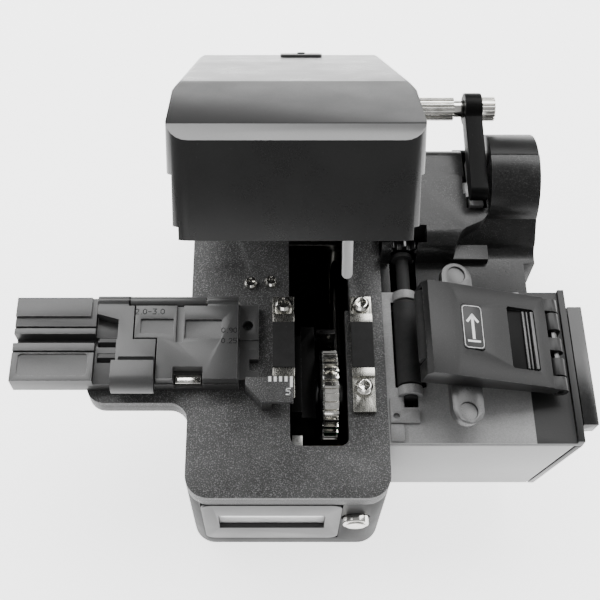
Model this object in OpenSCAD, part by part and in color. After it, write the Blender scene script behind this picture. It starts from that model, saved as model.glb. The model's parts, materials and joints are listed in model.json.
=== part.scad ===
// Precision optical fibre cleaver with a geared scrap collector.
// Frame: origin at the centre of the main body's underside, +X right, +Y back, +Z up.
// Depth positions (…_y) are measured back from the front face of the main body.

/* [Body] */
// Width of the main body
body_w = 43; // [36:0.5:54]
// Depth of the main body, front to back
body_d = 95; // [80:1:116]
// Height of the top plate's upper face above the table
body_h = 36; // [33:0.5:44]
// Thickness of the top plate
plate_t = 4.6; // [3.5:0.1:6]
// Wall of the moulded base shell
wall_t = 2.4; // [1.6:0.1:3]
// Thickness of the bottom cover
floor_t = 2; // [1.5:0.1:3]
// Radius of the body's upright corners
corner_r = 5; // [3:0.5:7]
// Thickness of the rubber pad under the shell
base_pad_t = 1.5; // [1:0.1:2]

/* [Wing] */
// How far the holder wing reaches out from the body's left side
wing_reach = 22; // [18:0.5:26]
// Front edge of the wing
wing_y = 21; // [18:0.5:23]
// Depth of the wing, front to back
wing_d = 23; // [21:0.5:27]

/* [Fibre line] */
// Depth position of the fibre
fibre_y = 34; // [33:0.5:36]
// Height of the fibre above the top plate
fibre_h = 2.2; // [2:0.1:3]

/* [Slot and blade] */
// Left edge of the blade slot, from the centre plane
slot_x = 0.5; // [0:0.1:1.5]
// Width of the blade slot
slot_w = 12.5; // [12.3:0.1:14]
// Front end of the blade slot
slot_y = 11.3; // [10:0.1:13]
// Length of the blade slot
slot_len = 62; // [56:1:64]
// Diameter of the blade disc
blade_d = 20.6; // [18:0.2:22]
// Thickness of the blade disc
blade_t = 0.8; // [0.5:0.1:1]
// Width of the ratchet wheel
wheel_t = 3.1; // [2.5:0.1:3.5]
// Number of teeth on the ratchet wheel
wheel_teeth = 32; // [24:1:40]
// Diameter of the blade axle
axle_d = 4; // [3:0.5:5]
// Depth position of the blade axle with the carriage forward
blade_y = 26.2; // [25.5:0.1:27]
// Travel of the blade carriage
blade_travel = 24; // [18:1:24]
// Diameter of the guide rails
rail_d = 4; // [3:0.5:5]

/* [Anvils] */
// Width of an anvil
anvil_w = 4.8; // [4:0.1:5]
// Length of the raised part of an anvil
anvil_len = 15.2; // [13:0.2:16]
// Length of a rubber anvil pad
anvil_pad_len = 11; // [9:0.2:12]
// Diameter of the anvil screw heads
screw_head_d = 3.8; // [3.4:0.1:4]
// Diameter of the anvil screws
screw_d = 2; // [1.6:0.1:2.2]

/* [Fibre holder] */
// Length of the holder tray
tray_len = 49; // [46:0.5:54]
// Depth of the holder tray, front to back
tray_d = 19.7; // [19:0.1:21]
// Thickness of the tray under the flaps
tray_floor = 3; // [2.5:0.1:3.5]
// Thickness of a holder flap
flap_t = 2.6; // [2:0.1:3]

/* [Lid] */
// Angle at which the lid stands open
lid_open = 44.5; // [40:0.5:46]
// How far the lid's upper part reaches past the body's right side
lid_over = 1.9; // [0.4:0.1:2]
// Wall of the lid shell
lid_wall = 2; // [1.6:0.1:2.4]
// Height of the lid's hinge axis above the top plate
hinge_h = 13; // [12.5:0.5:14]
// Diameter of the hinge shaft
shaft_d = 4; // [3:0.5:4.5]
// Diameter of the knurled sleeve
knurl_d = 5.4; // [5:0.2:6]
// Length of the drive arm from the hinge shaft to its tip
arm_len = 24; // [22:0.5:25]
// Width of the drive arm
arm_w = 4; // [3:0.5:4.4]

/* [Scrap collector] */
// Length of the collector, from the body to its outer end
bin_len = 41; // [38:0.5:48]
// Depth of the collector, front to back
bin_d = 36.2; // [35:0.2:40]
// Height of the collector's underside above the table
bin_floor_z = 9.7; // [6:0.5:11]
// Wall of the collector
bin_wall = 1.4; // [1.2:0.1:1.8]
// Diameter of the rubber feed roller
feed_d = 5.4; // [5:0.1:5.8]
// Length of the rubber feed roller
feed_len = 20; // [16:0.5:21]
// Opening angle of the roller cover at rest
cover_rest = 12; // [8:0.5:14]
// Outer radius of the spring drum
drum_r = 11.5; // [9:0.5:12]
// Length of the spring drum
drum_len = 11; // [9:0.5:12]

/* [Hidden] */

$fn = 48;
e = 0.01;                                  // small overlap that lets a cut run past a face
run_gap = 0.05;                            // radial running clearance of pins and shafts
free_gap = 0.3;                            // clearance between parts that pass each other

front = -body_d / 2;
function from_front(y) = front + y;
plate_top = body_h;
plate_under = body_h - plate_t;
fibre_z = plate_top + fibre_h;
slot_right = slot_x + slot_w;

// ---- shared small shapes ----
module rounded_box(x0, y0, z0, w, d, h, r) {
  translate([x0, y0, z0])
    linear_extrude(h)
      rounded_rect(w, d, r);
}
module rounded_rect(w, d, r) {
  translate([r, r]) circle(r);
  translate([w - r, r]) circle(r);
  translate([r, d - r]) circle(r);
  translate([w - r, d - r]) circle(r);
  translate([r, 0]) square([w - 2 * r, d]);
  translate([0, r]) square([w, d - 2 * r]);
}
module box(x0, y0, z0, x1, y1, z1) {
  translate([x0, y0, z0]) cube([x1 - x0, y1 - y0, z1 - z0]);
}
module rod_x(x0, x1, y, z, d) {
  translate([x0, y, z]) rotate([0, 90, 0]) cylinder(h = x1 - x0, d = d);
}
module rod_y(y0, y1, x, z, d) {
  translate([x, y0, z]) rotate([-90, 0, 0]) cylinder(h = y1 - y0, d = d);
}
// Extrudes an outline drawn in (y, z) along X from x0 to x1
module slab_x(x0, x1) {
  translate([x0, 0, 0])
    rotate([90, 0, 90])
      linear_extrude(x1 - x0)
        children();
}
// Extrudes an outline drawn in (x, z) along Y from y0 to y1
module slab_y(y0, y1) {
  translate([0, y1, 0])
    rotate([90, 0, 0])
      linear_extrude(y1 - y0)
        children();
}
module pan_screw(x, y, seat_z, head_d, shank_d, shank_l) {
  head_h = head_d * 0.42;
  arm = head_d * 0.62;
  arm_t = head_d * 0.16;
  translate([x, y, seat_z])
    difference() {
      union() {
        cylinder(h = head_h * 0.55, d = head_d);
        translate([0, 0, head_h * 0.55])
          cylinder(h = head_h * 0.45, d1 = head_d, d2 = head_d * 0.72);
        translate([0, 0, -shank_l]) cylinder(h = shank_l + e, d = shank_d);
      }
      translate([-arm / 2, -arm_t / 2, head_h * 0.5]) cube([arm, arm_t, head_h]);
      translate([-arm_t / 2, -arm / 2, head_h * 0.5]) cube([arm_t, arm, head_h]);
    }
}

// ---- main body ----
shell_z0 = base_pad_t;
lug_d = 7;                                 // screw lug in each corner of the shell
lug_in = wall_t + lug_d / 2 - 0.6;         // lug centre, in from the shell's outer faces
lug_low_h = 6;
lug_high_h = 5.7;
cover_screw_d = 2.6;
cover_head_d = 4.4;
lug_points = [for (sx = [-1, 1], sy = [-1, 1])
  [sx * (body_w / 2 - lug_in), sy * (body_d / 2 - lug_in)]];

panel_x0 = -18.4;
panel_w = 30;
panel_z0 = 6;
panel_h = plate_under - panel_z0 - 0.4;
panel_t = 1;
window_inset = 3;
window_h = panel_h * 0.4;
window_z0 = panel_z0 + panel_h * 0.32;
button_d = 5.6;
button_x = panel_x0 + panel_w + 3.2;
button_z = 21.9;
button_press = 1;

module base_shell() color("#3c3b3e")
  difference() {
    union() {
      difference() {
        rounded_box(-body_w / 2, front, shell_z0, body_w, body_d, plate_under - shell_z0, corner_r);
        rounded_box(-body_w / 2 + wall_t, front + wall_t, shell_z0 - e, body_w - 2 * wall_t,
          body_d - 2 * wall_t, body_h, corner_r - wall_t);
      }
      for (p = lug_points) {
        translate([p[0], p[1], shell_z0 + floor_t]) cylinder(h = lug_low_h, d = lug_d);
        translate([p[0], p[1], plate_under - lug_high_h]) cylinder(h = lug_high_h, d = lug_d);
      }
    }
    for (p = lug_points)
      translate([p[0], p[1], shell_z0]) cylinder(h = body_h, d = cover_screw_d);
    box(panel_x0 - 0.1, front - 1, panel_z0 - 0.1, panel_x0 + panel_w + 0.1,
      front + panel_t, panel_z0 + panel_h + 0.1);
    box(panel_x0 + window_inset, front - 1, window_z0, panel_x0 + panel_w - window_inset,
      front + wall_t + 1, window_z0 + window_h);
    rod_y(front - 1, front + wall_t + 1, button_x, button_z, button_d + 2 * free_gap);
  }

cover_gap = 0.2;
module bottom_cover() color("#2c2c2e")
  difference() {
    rounded_box(-body_w / 2 + wall_t + cover_gap, front + wall_t + cover_gap, shell_z0,
      body_w - 2 * (wall_t + cover_gap), body_d - 2 * (wall_t + cover_gap), floor_t,
      corner_r - wall_t);
    for (p = lug_points)
      translate([p[0], p[1], 0]) cylinder(h = 10, d = cover_screw_d + 0.6);
  }

base_pad_in = 1.2;                         // how far the rubber pad stays inside the shell's outline
module rubber_base() color("#18181a")
  difference() {
    rounded_box(-body_w / 2 + base_pad_in, front + base_pad_in, 0, body_w - 2 * base_pad_in,
      body_d - 2 * base_pad_in, base_pad_t, corner_r - base_pad_in);
    for (p = lug_points)
      translate([p[0], p[1], -1]) cylinder(h = base_pad_t + 2, d = cover_head_d + 0.8);
  }

module bottom_screws() color("silver")
  for (p = lug_points)
    translate([p[0], p[1], 0])
      union() {
        translate([0, 0, shell_z0 - 1]) cylinder(h = 1, d = cover_head_d);
        translate([0, 0, shell_z0 - e]) cylinder(h = floor_t + lug_low_h - 1, d = cover_screw_d - 0.1);
      }

// ---- top plate ----
anvil_left_x = slot_x + 1.1 - anvil_w;
anvil_right_x = slot_right + 1.1;
anvil_tab = 4.7;                           // length of a screw tab beyond the raised part
anvil_tab_t = 1.2;
anvil_screw_out = 2.4;                     // screw centre beyond the raised part
anvil_y0 = from_front(fibre_y) - anvil_len / 2;
anvil_y1 = anvil_y0 + anvil_len;
anvil_screw_points = [
  for (x = [anvil_left_x + anvil_w / 2, anvil_right_x + anvil_w / 2])
    for (y = [anvil_y0 - anvil_screw_out, anvil_y1 + anvil_screw_out]) [x, y]];
anvil_screw_l = 4;
small_screw_points = [[anvil_left_x - 5, anvil_y1 + 8.6], [anvil_left_x - 0.4, anvil_y1 + 9]];
small_head_d = 3;

module plate_outline() {
  wing_x0 = -body_w / 2 - wing_reach;
  wing_r = 4;
  translate([-body_w / 2, front]) rounded_rect(body_w, body_d, corner_r);
  translate([wing_x0, from_front(wing_y)]) rounded_rect(wing_reach + 10, wing_d, wing_r);
  difference() {
    translate([-body_w / 2 - wing_r, from_front(wing_y) - wing_r])
      square([wing_r + e, wing_r + e]);
    translate([-body_w / 2 - wing_r, from_front(wing_y) - wing_r]) circle(wing_r);
  }
}
module top_plate() color("#5f5e63")
  difference() {
    translate([0, 0, plate_under]) linear_extrude(plate_t) plate_outline();
    rounded_box(slot_x, from_front(slot_y), plate_under - 1, slot_w, slot_len, plate_t + 2, 2);
    // notch beside the slot that lets the striker rod in
    box(slot_right - 1, striker_y - 12.7, plate_under - 1, slot_right + 1.05, striker_y + 1.8,
      plate_top + 1);
    for (p = anvil_screw_points)
      translate([p[0], p[1], plate_top - anvil_screw_l - 0.3])
        cylinder(h = anvil_screw_l + 1, d = screw_d);
    for (p = small_screw_points)
      translate([p[0], p[1], plate_top - 3]) cylinder(h = 4, d = screw_d);
    for (p = lug_points)
      translate([p[0], p[1], plate_under - 1]) cylinder(h = 3.6, d = cover_screw_d);
  }

module plate_screws() color("silver")
  for (p = lug_points)
    translate([p[0], p[1], plate_under - lug_high_h + 0.3])
      cylinder(h = lug_high_h + 2.1, d = cover_screw_d - 0.1);

// ---- front display and button ----
module display_panel() color("#8b8a89")
  difference() {
    slab_y(front - 0.2, front + panel_t)
      translate([panel_x0, panel_z0]) rounded_rect(panel_w, panel_h, 2.5);
    box(panel_x0 + window_inset + 0.4, front - 1, window_z0 + 0.4,
      panel_x0 + panel_w - window_inset - 0.4, front + panel_t + 1, window_z0 + window_h - 0.4);
  }
module display_window() color("#b4b4b4")
  box(panel_x0 + window_inset + 0.1, front + panel_t, window_z0 + 0.1,
    panel_x0 + panel_w - window_inset - 0.1, front + panel_t + 1.4, window_z0 + window_h - 0.1);

board_y = wall_t + 1.2 + button_press;
board_h = panel_h * 0.6;
module counter_board() color("#2f6b3f")
  union() {
    box(panel_x0 + 1, from_front(board_y), panel_z0 + 4, button_x + 1.8,
      from_front(board_y + 1.2), panel_z0 + 4 + board_h);
    box(panel_x0 + window_inset + 1, from_front(wall_t), window_z0 + 1,
      panel_x0 + panel_w - window_inset - 1, from_front(board_y + e), window_z0 + window_h - 1);
  }
battery_d = 12;
module battery() color("#b9bcc2")
  rod_y(from_front(board_y + 1.3), from_front(board_y + 4.5), panel_x0 + 9,
    panel_z0 + 5 + battery_d / 2, battery_d);

module front_button() color("#c9cbd0")
  union() {
    rod_y(from_front(-1.6), from_front(wall_t + 0.2), button_x, button_z, button_d);
    rod_y(from_front(wall_t - e), from_front(wall_t + 0.9), button_x, button_z, 1.2);
    rod_y(from_front(-2), from_front(-1.5), button_x, button_z, button_d - 1.4);
  }

// ---- anvils ----
module anvil_block(x, lead) {
  difference() {
    union() {
      box(x, anvil_y0 - anvil_tab - lead, plate_top, x + anvil_w, anvil_y1 + anvil_tab,
        plate_top + anvil_tab_t);
      box(x, anvil_y0, plate_top, x + anvil_w, anvil_y1, fibre_z - 0.2);
    }
    box(x - 1, from_front(fibre_y) - anvil_pad_len / 2, fibre_z - 1,
      x + anvil_w + 1, from_front(fibre_y) + anvil_pad_len / 2, fibre_z + 1);
    for (p = anvil_screw_points)
      translate([p[0], p[1], plate_top - 1]) cylinder(h = 4, d = screw_d + 0.2);
  }
}
module anvil_pad(x)
  box(x, from_front(fibre_y) - anvil_pad_len / 2 + 0.02, fibre_z - 1, x + anvil_w,
    from_front(fibre_y) + anvil_pad_len / 2 - 0.02, fibre_z);
anvil_lead = 3.2;                          // extra length of the right anvil's front tab
module left_anvil() color("#b5b5aa") anvil_block(anvil_left_x, 0);
module right_anvil() color("#c2c2b8") anvil_block(anvil_right_x, anvil_lead);
module left_anvil_pad() color("#242326") anvil_pad(anvil_left_x);
module right_anvil_pad() color("#3a383a") anvil_pad(anvil_right_x);
module anvil_screws() color("silver") {
  for (p = anvil_screw_points)
    pan_screw(p[0], p[1], plate_top + anvil_tab_t, screw_head_d, screw_d - 0.05,
      anvil_screw_l + anvil_tab_t - 0.4);
  for (p = small_screw_points)
    pan_screw(p[0], p[1], plate_top, small_head_d, screw_d - 0.05, 2.6);
}

// Scale plate: a chamfered block with a lip that hides the front left anvil screw
tray_x1 = -body_w / 2 + 11.2;
tray_tongue = 4;
scale_x0 = tray_x1 + 1.2;
scale_x1 = slot_x + 0.7;
scale_foot_x1 = anvil_left_x - 0.2;
scale_back_y = anvil_y0 - 1.2;
tongue_y0 = scale_back_y + 0.4;
scale_front_y = scale_back_y - 5.8;
scale_z = plate_top + anvil_tab_t + screw_head_d * 0.42 + 0.4;
module scale_outline(x1) {
  polygon([[scale_x0, scale_back_y], [scale_x0, scale_back_y - 1.8],
    [scale_x0 + 3.6, scale_front_y], [x1, scale_front_y], [x1, scale_back_y]]);
}
module scale_plate() color("#232325")
  union() {
    translate([0, 0, plate_top])
      linear_extrude(scale_z - plate_top + e) scale_outline(scale_foot_x1);
    translate([0, 0, scale_z]) linear_extrude(1.2) scale_outline(scale_x1);
  }

// ---- blade carriage ----
axle_y = from_front(blade_y);
axle_z = fibre_z - blade_d / 2;
wheel_x = slot_x + 7.5;
wheel_d = blade_d - 0.6;
blade_x = wheel_x - blade_t;
rail_z = 12.4;
rail_x_left = slot_x - 8;
rail_x_right = slot_x + slot_w - 0.5;
bush_d = rail_d + 2.6;
carriage_y0 = axle_y - 7;
carriage_len = 22;
rail_block_t = 6;
rail_y0 = carriage_y0 - rail_block_t - 1.6;
rail_y1 = carriage_y0 + carriage_len + blade_travel + 6.5;

module guide_rails() color("silver")
  for (x = [rail_x_left, rail_x_right])
    rod_y(rail_y0 + 1, rail_y1 + rail_block_t - 1, x, rail_z, rail_d);

module rail_block(y0) {
  difference() {
    box(rail_x_left - 4.5, y0, shell_z0 + floor_t, rail_x_right + 4.5,
      y0 + rail_block_t, rail_z + 5);
    for (x = [rail_x_left, rail_x_right])
      rod_y(y0 - 1, y0 + rail_block_t + 1, x, rail_z, rail_d);
  }
}
module rail_blocks() color("#8d9096") {
  rail_block(rail_y0);
  // ledge at the slot's front left corner
  box(slot_x + 0.5, from_front(slot_y) + 1, rail_z + 4, slot_x + 2.7, rail_y0 + 3, plate_under + 2);
  rail_block(rail_y1);
}

cheek_x0 = slot_x + 2.6;
cheek_t = 3.1;
module blade_carriage() color("#1b1b1d")
  difference() {
    union() {
      box(rail_x_left - 4.2, carriage_y0, rail_z - 4.6, rail_x_right + 4.2,
        carriage_y0 + carriage_len, rail_z + 4.4);
      box(cheek_x0, carriage_y0, rail_z + 4, cheek_x0 + cheek_t,
        carriage_y0 + carriage_len, plate_top - 4);
      // shoulder that runs along the slot's left side, below the anvil
      box(slot_x + 0.4, carriage_y0, rail_z + 4, cheek_x0 + e, carriage_y0 + carriage_len - 4,
        plate_top - 0.5);
    }
    for (x = [rail_x_left, rail_x_right])
      rod_y(carriage_y0 - 1, carriage_y0 + carriage_len + 1, x, rail_z, bush_d);
    rod_x(cheek_x0 - 1, cheek_x0 + cheek_t + 1, axle_y, axle_z, axle_d);
    rod_x(cheek_x0 - 1, cheek_x0 + cheek_t + 1, axle_y + wheel_d / 2 + 3, axle_z + 2, 2);
  }
module carriage_bushes() color("#b08d45")
  for (x = [rail_x_left, rail_x_right], y = [carriage_y0, carriage_y0 + carriage_len - 5])
    difference() {
      rod_y(y, y + 5, x, rail_z, bush_d);
      rod_y(y - 1, y + 6, x, rail_z, rail_d + 2 * run_gap);
    }
axle_end_x = slot_right - 0.5;
module blade_axle() color("silver")
  union() {
    rod_x(cheek_x0 - 0.8, axle_end_x - 0.9, axle_y, axle_z, axle_d);
    rod_x(axle_end_x - 0.9 - e, axle_end_x, axle_y, axle_z, axle_d + 3);
    rod_x(cheek_x0 + cheek_t, blade_x - free_gap, axle_y, axle_z, axle_d + 3);
  }
hub_d = axle_d + 2 * run_gap;
module blade_disc() color("#a9adb3")
  difference() {
    union() {
      rod_x(blade_x, wheel_x, axle_y, axle_z, blade_d - 1);
      translate([blade_x + blade_t * 0.55, axle_y, axle_z]) rotate([0, 90, 0])
        cylinder(h = blade_t * 0.45, d1 = blade_d, d2 = blade_d - 1);
      translate([blade_x, axle_y, axle_z]) rotate([0, 90, 0])
        cylinder(h = blade_t * 0.55 + e, d1 = blade_d - 1, d2 = blade_d);
    }
    rod_x(blade_x - 1, wheel_x + 1, axle_y, axle_z, hub_d);
  }
module ratchet_wheel() color("#d8d9d2")
  difference() {
    slab_x(wheel_x, wheel_x + wheel_t)
      translate([axle_y, axle_z])
        union() {
          circle(wheel_d / 2 - 1.1);
          for (i = [0 : wheel_teeth - 1])
            rotate(i * 360 / wheel_teeth)
              polygon([[0, -0.8], [wheel_d / 2, -0.35], [wheel_d / 2, 0.45], [0, 0.8]]);
        }
    rod_x(wheel_x - 1, wheel_x + wheel_t + 1, axle_y, axle_z, hub_d);
    for (i = [0 : 5])
      rod_x(wheel_x + wheel_t - 1, wheel_x + wheel_t + 1,
        axle_y + 6.2 * cos(i * 60), axle_z + 6.2 * sin(i * 60), 1.8);
  }
pawl_y = axle_y + wheel_d / 2 + 3;
pawl_z = axle_z + 2;
module index_pawl() color("#c8a24c")
  union() {
    rod_x(cheek_x0 + 0.4, wheel_x + wheel_t - 0.4, pawl_y, pawl_z, 2 - 2 * run_gap);
    slab_x(cheek_x0 + cheek_t + 0.4, wheel_x + wheel_t - 0.4)
      translate([pawl_y, pawl_z])
        union() {
          circle(1.8);
          rotate(95) polygon([[0, -1.2], [5, -0.4], [5.8, 0.9], [4.6, 1.1], [0, 1.6]]);
        }
  }

// ---- fibre holder ----
tray_x0 = tray_x1 - tray_len;
tray_y0 = from_front(fibre_y) - 10;
tray_y1 = tray_y0 + tray_d;
tray_top = plate_top + tray_floor + flap_t;
flap_z0 = plate_top + tray_floor + 0.2;
flap_hinge_y = tray_y1 - 0.6;
flap_hinge_z = tray_top - 1.3;
flap_barrel_r = 1.4;
flap_pin_d = 1.2;
tray_pad_x1 = tray_x0 + 16.5;
flap_x0 = tray_x0 + 17.6;
barrel_left_x1 = tray_x0 + 24.6;
barrel_right_x0 = tray_x1 - 7.4;
groove_w = 2.2;
module holder_tray() color("#5c5b5e")
  difference() {
    union() {
      box(tray_x1 - 1, tongue_y0, plate_top, tray_x1 + tray_tongue, tray_y1,
        plate_top + tray_floor - 1);
      box(tray_x0, tray_y0, plate_top, tray_x1 - 0.2, tray_y1, plate_top + tray_floor);
      box(tray_x0, tray_y0, plate_top, flap_x0, tray_y1, tray_top - 0.6);
      box(tray_x0, tray_y1 - 4.6, plate_top, tray_pad_x1, tray_y1, tray_top);
      box(barrel_left_x1 + 0.2, flap_hinge_y - flap_barrel_r + 0.1, plate_top,
        barrel_right_x0 - 0.2, tray_y1 + 0.7, flap_hinge_z);
      rod_x(barrel_left_x1 + 0.2, barrel_right_x0 - 0.2, flap_hinge_y, flap_hinge_z,
        2 * (flap_barrel_r - 0.1));
    }
    // fibre groove, with a second shallow groove in front of it
    box(tray_x0 - 1, from_front(fibre_y) - groove_w / 2, fibre_z - 0.6, tray_x1 + 10,
      from_front(fibre_y) + groove_w / 2, tray_top + 1);
    box(tray_x0 - 1, from_front(fibre_y) - 3.4, tray_top - 1.2, flap_x0 + 1,
      from_front(fibre_y) - 2.9, tray_top + 1);
    box(tray_x0 - 1, from_front(fibre_y) + 2.4, tray_top - 1.2, flap_x0 + 1,
      from_front(fibre_y) + 2.9, tray_top + 1);
    // recessed label area
    rounded_box(tray_x0 + 1.4, tray_y0 + 1.2, tray_top - 0.9, 15, 5.2, 2, 0.9);
    // room for the two barrels and for the tongue's hole and notch
    box(flap_x0, flap_hinge_y - 2.2, plate_top + tray_floor - 0.4, barrel_left_x1 + 0.1,
      tray_y1 + 2, tray_top + 1);
    box(barrel_right_x0 - 0.1, flap_hinge_y - 2.2, plate_top + tray_floor - 0.4,
      tray_x1 + 1, tray_y1 + 2, tray_top + 1);
    translate([tray_x1 + 1.6, from_front(fibre_y) + 4.6, plate_top - 1]) cylinder(h = 9, d = 2.4);
    box(tray_x1 + 2, tongue_y0 + 2, plate_top - 1, tray_x1 + tray_tongue + 1, tongue_y0 + 4.8,
      tray_top);
    // seat of the latch bar
    box(latch_x - 3.1, tray_y0 - 1, plate_top + 1.4, latch_x + 3.1, tray_y0 + 2.4, tray_top);
    rod_x(flap_x0 - 4, tray_x1 + 1, flap_hinge_y, flap_hinge_z, flap_pin_d);
  }
latch_x = tray_x1 - 11;
module latch_bar() color("silver")
  box(latch_x - 2.8, tray_y0 + 0.3, plate_top + 1.4, latch_x + 2.8, tray_y0 + 2.3,
    plate_top + tray_floor);
module holder_hinge_pin() color("silver")
  rod_x(flap_x0 - 3.6, tray_x1 - 0.2, flap_hinge_y, flap_hinge_z, flap_pin_d);

flap_split_x = flap_x0 + 8.6;
flap_step_x = flap_split_x + 5;
flap_step_y = from_front(fibre_y) - 0.2;
flap_back_y = flap_hinge_y - flap_barrel_r - 0.1;
module flap_barrel(x0, x1)
  difference() {
    union() {
      rod_x(x0, x1, flap_hinge_y, flap_hinge_z, 2 * flap_barrel_r);
      box(x0, flap_back_y - 0.6, flap_hinge_z - flap_barrel_r + 0.3, x1, flap_hinge_y,
        flap_hinge_z + flap_barrel_r - 0.3);
    }
    rod_x(x0 - 1, x1 + 1, flap_hinge_y, flap_hinge_z, flap_pin_d + 2 * run_gap);
  }
module holder_main_flap() color("#4b4a4d")
  union() {
    difference() {
      translate([0, 0, flap_z0])
        linear_extrude(flap_t)
          polygon([[flap_split_x, flap_back_y], [flap_split_x, flap_step_y],
            [flap_step_x, flap_step_y], [flap_step_x, tray_y0 + 0.2],
            [tray_x1 - 0.4, tray_y0 + 0.2], [tray_x1 - 0.4, flap_back_y]]);
      // latch window, pressure window and sunk outlines
      box(latch_x - 3.2, tray_y0 - 1, flap_z0 - 1, latch_x + 3.2, tray_y0 + 3, tray_top + 1);
      rounded_box(flap_split_x + 9, from_front(fibre_y) - 1.4, tray_top - 0.5, 1.5, 9.4, 2, 0.4);
      rounded_box(flap_split_x + 10.9, from_front(fibre_y) - 0.4, tray_top - 0.3, 8, 4.6, 2, 0.3);
      rounded_box(flap_split_x + 1.2, from_front(fibre_y) + 0.8, tray_top - 0.3, 7.2, 3.6, 2, 0.3);
      box(flap_split_x - 1, from_front(fibre_y) - 0.7, flap_z0 - 1, tray_x1, from_front(fibre_y)
        + 0.7, flap_z0 + 0.4);
    }
    flap_barrel(barrel_right_x0 + 0.2, tray_x1 - 0.4);
  }
module holder_small_flap() color("#47464a")
  union() {
    translate([0, 0, flap_z0])
      linear_extrude(flap_t)
        polygon([[flap_x0 + 0.2, flap_back_y], [flap_x0 + 0.2, flap_back_y - 2],
          [flap_split_x - 3.6, flap_back_y - 3.4], [flap_split_x - 3.6, flap_step_y],
          [flap_x0 + 4.8, flap_step_y - 0.6], [flap_x0 + 4.8, tray_y0 + 3.4],
          [flap_step_x - 0.3, tray_y0 + 3.4], [flap_step_x - 0.3, flap_step_y - 0.3],
          [flap_split_x - 0.3, flap_step_y - 0.3], [flap_split_x - 0.3, flap_back_y]]);
    slab_x(flap_x0 + 4.2, flap_step_x - 0.3)
      difference() {
        union() {
          translate([tray_y0 + 0.4, flap_z0 + 1.3]) circle(2.9);
          translate([tray_y0 + 0.4, flap_z0 + 1.5]) square([3.4, 2.7]);
        }
        translate([tray_y0 - 9, plate_top - 9]) square([20, 9 + tray_floor + 0.2]);
      }
    flap_barrel(flap_x0 + 0.2, barrel_left_x1 - 0.1);
  }

// ---- lid ----
hinge_y = from_front(body_d - 5);
hinge_z = plate_top + hinge_h;
lid_front = from_front(13);
lid_back = hinge_y + 9;
lid_under = plate_top + 0.6;
lid_step_z = lid_under + 10.9;
lid_side_in = 1.5;
lid_front_top = lid_under + 16.9;
lid_crown = lid_under + 25;
ear_gap = 0.4;
ear_r = 5.6;
lid_lip_h = 2.2;
post_w = 5;
post_x = body_w / 2 - 9.5;                 // inner face of a hinge post

// Turns its children from the closed to the open position of the lid
module opened()
  translate([0, hinge_y, hinge_z])
    rotate([-lid_open, 0, 0])
      translate([0, -hinge_y, -hinge_z])
        children();

lid_corner_r = 4;
lid_rear_r = 7;
lid_edge_r = 4.6;
lid_taper = 0.9;                           // each side leans in by this much toward the front
lid_x0 = -body_w / 2 - 0.4;
lid_x1 = body_w / 2 + lid_over;
skirt_x1 = body_w / 2 + 0.1;               // right face of the skirt in front of the drive housing
module lid_plan()
  polygon(concat(
    arc(lid_x0 + lid_taper + lid_corner_r, lid_front + lid_corner_r, lid_corner_r, 180, 270, 6),
    arc(lid_x1 - lid_taper - lid_corner_r, lid_front + lid_corner_r, lid_corner_r, 270, 360, 6),
    arc(lid_x1 - lid_rear_r, lid_back - lid_rear_r, lid_rear_r, 0, 90, 8),
    arc(lid_x0 + lid_rear_r, lid_back - lid_rear_r, lid_rear_r, 90, 180, 8)));
facet_y0 = lid_front + 3;                  // the facet runs up from here to the crown
facet_y1 = lid_front + 24.5;
facet_z0 = lid_front_top + 2.3;
lid_profile = [[lid_front, lid_under], [lid_front, lid_front_top],
  [facet_y0, facet_z0], [facet_y1, lid_crown - 1], [facet_y1 + 26, lid_crown],
  [lid_back - 6, lid_crown - 0.4], [lid_back, lid_crown - 8.6], [lid_back, hinge_z - 4],
  [hinge_y - 8, hinge_z - 4], [hinge_y - 14, lid_under]];
lid_inside = [[lid_front + lid_wall, lid_under - 1],
  [lid_front + lid_wall, lid_front_top - 1], [facet_y0 + lid_wall, facet_z0 - lid_wall + 0.6],
  [facet_y1, lid_crown - 1 - lid_wall], [hinge_y - 13, lid_crown - lid_wall],
  [hinge_y - 13, lid_under - 1]];
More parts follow.
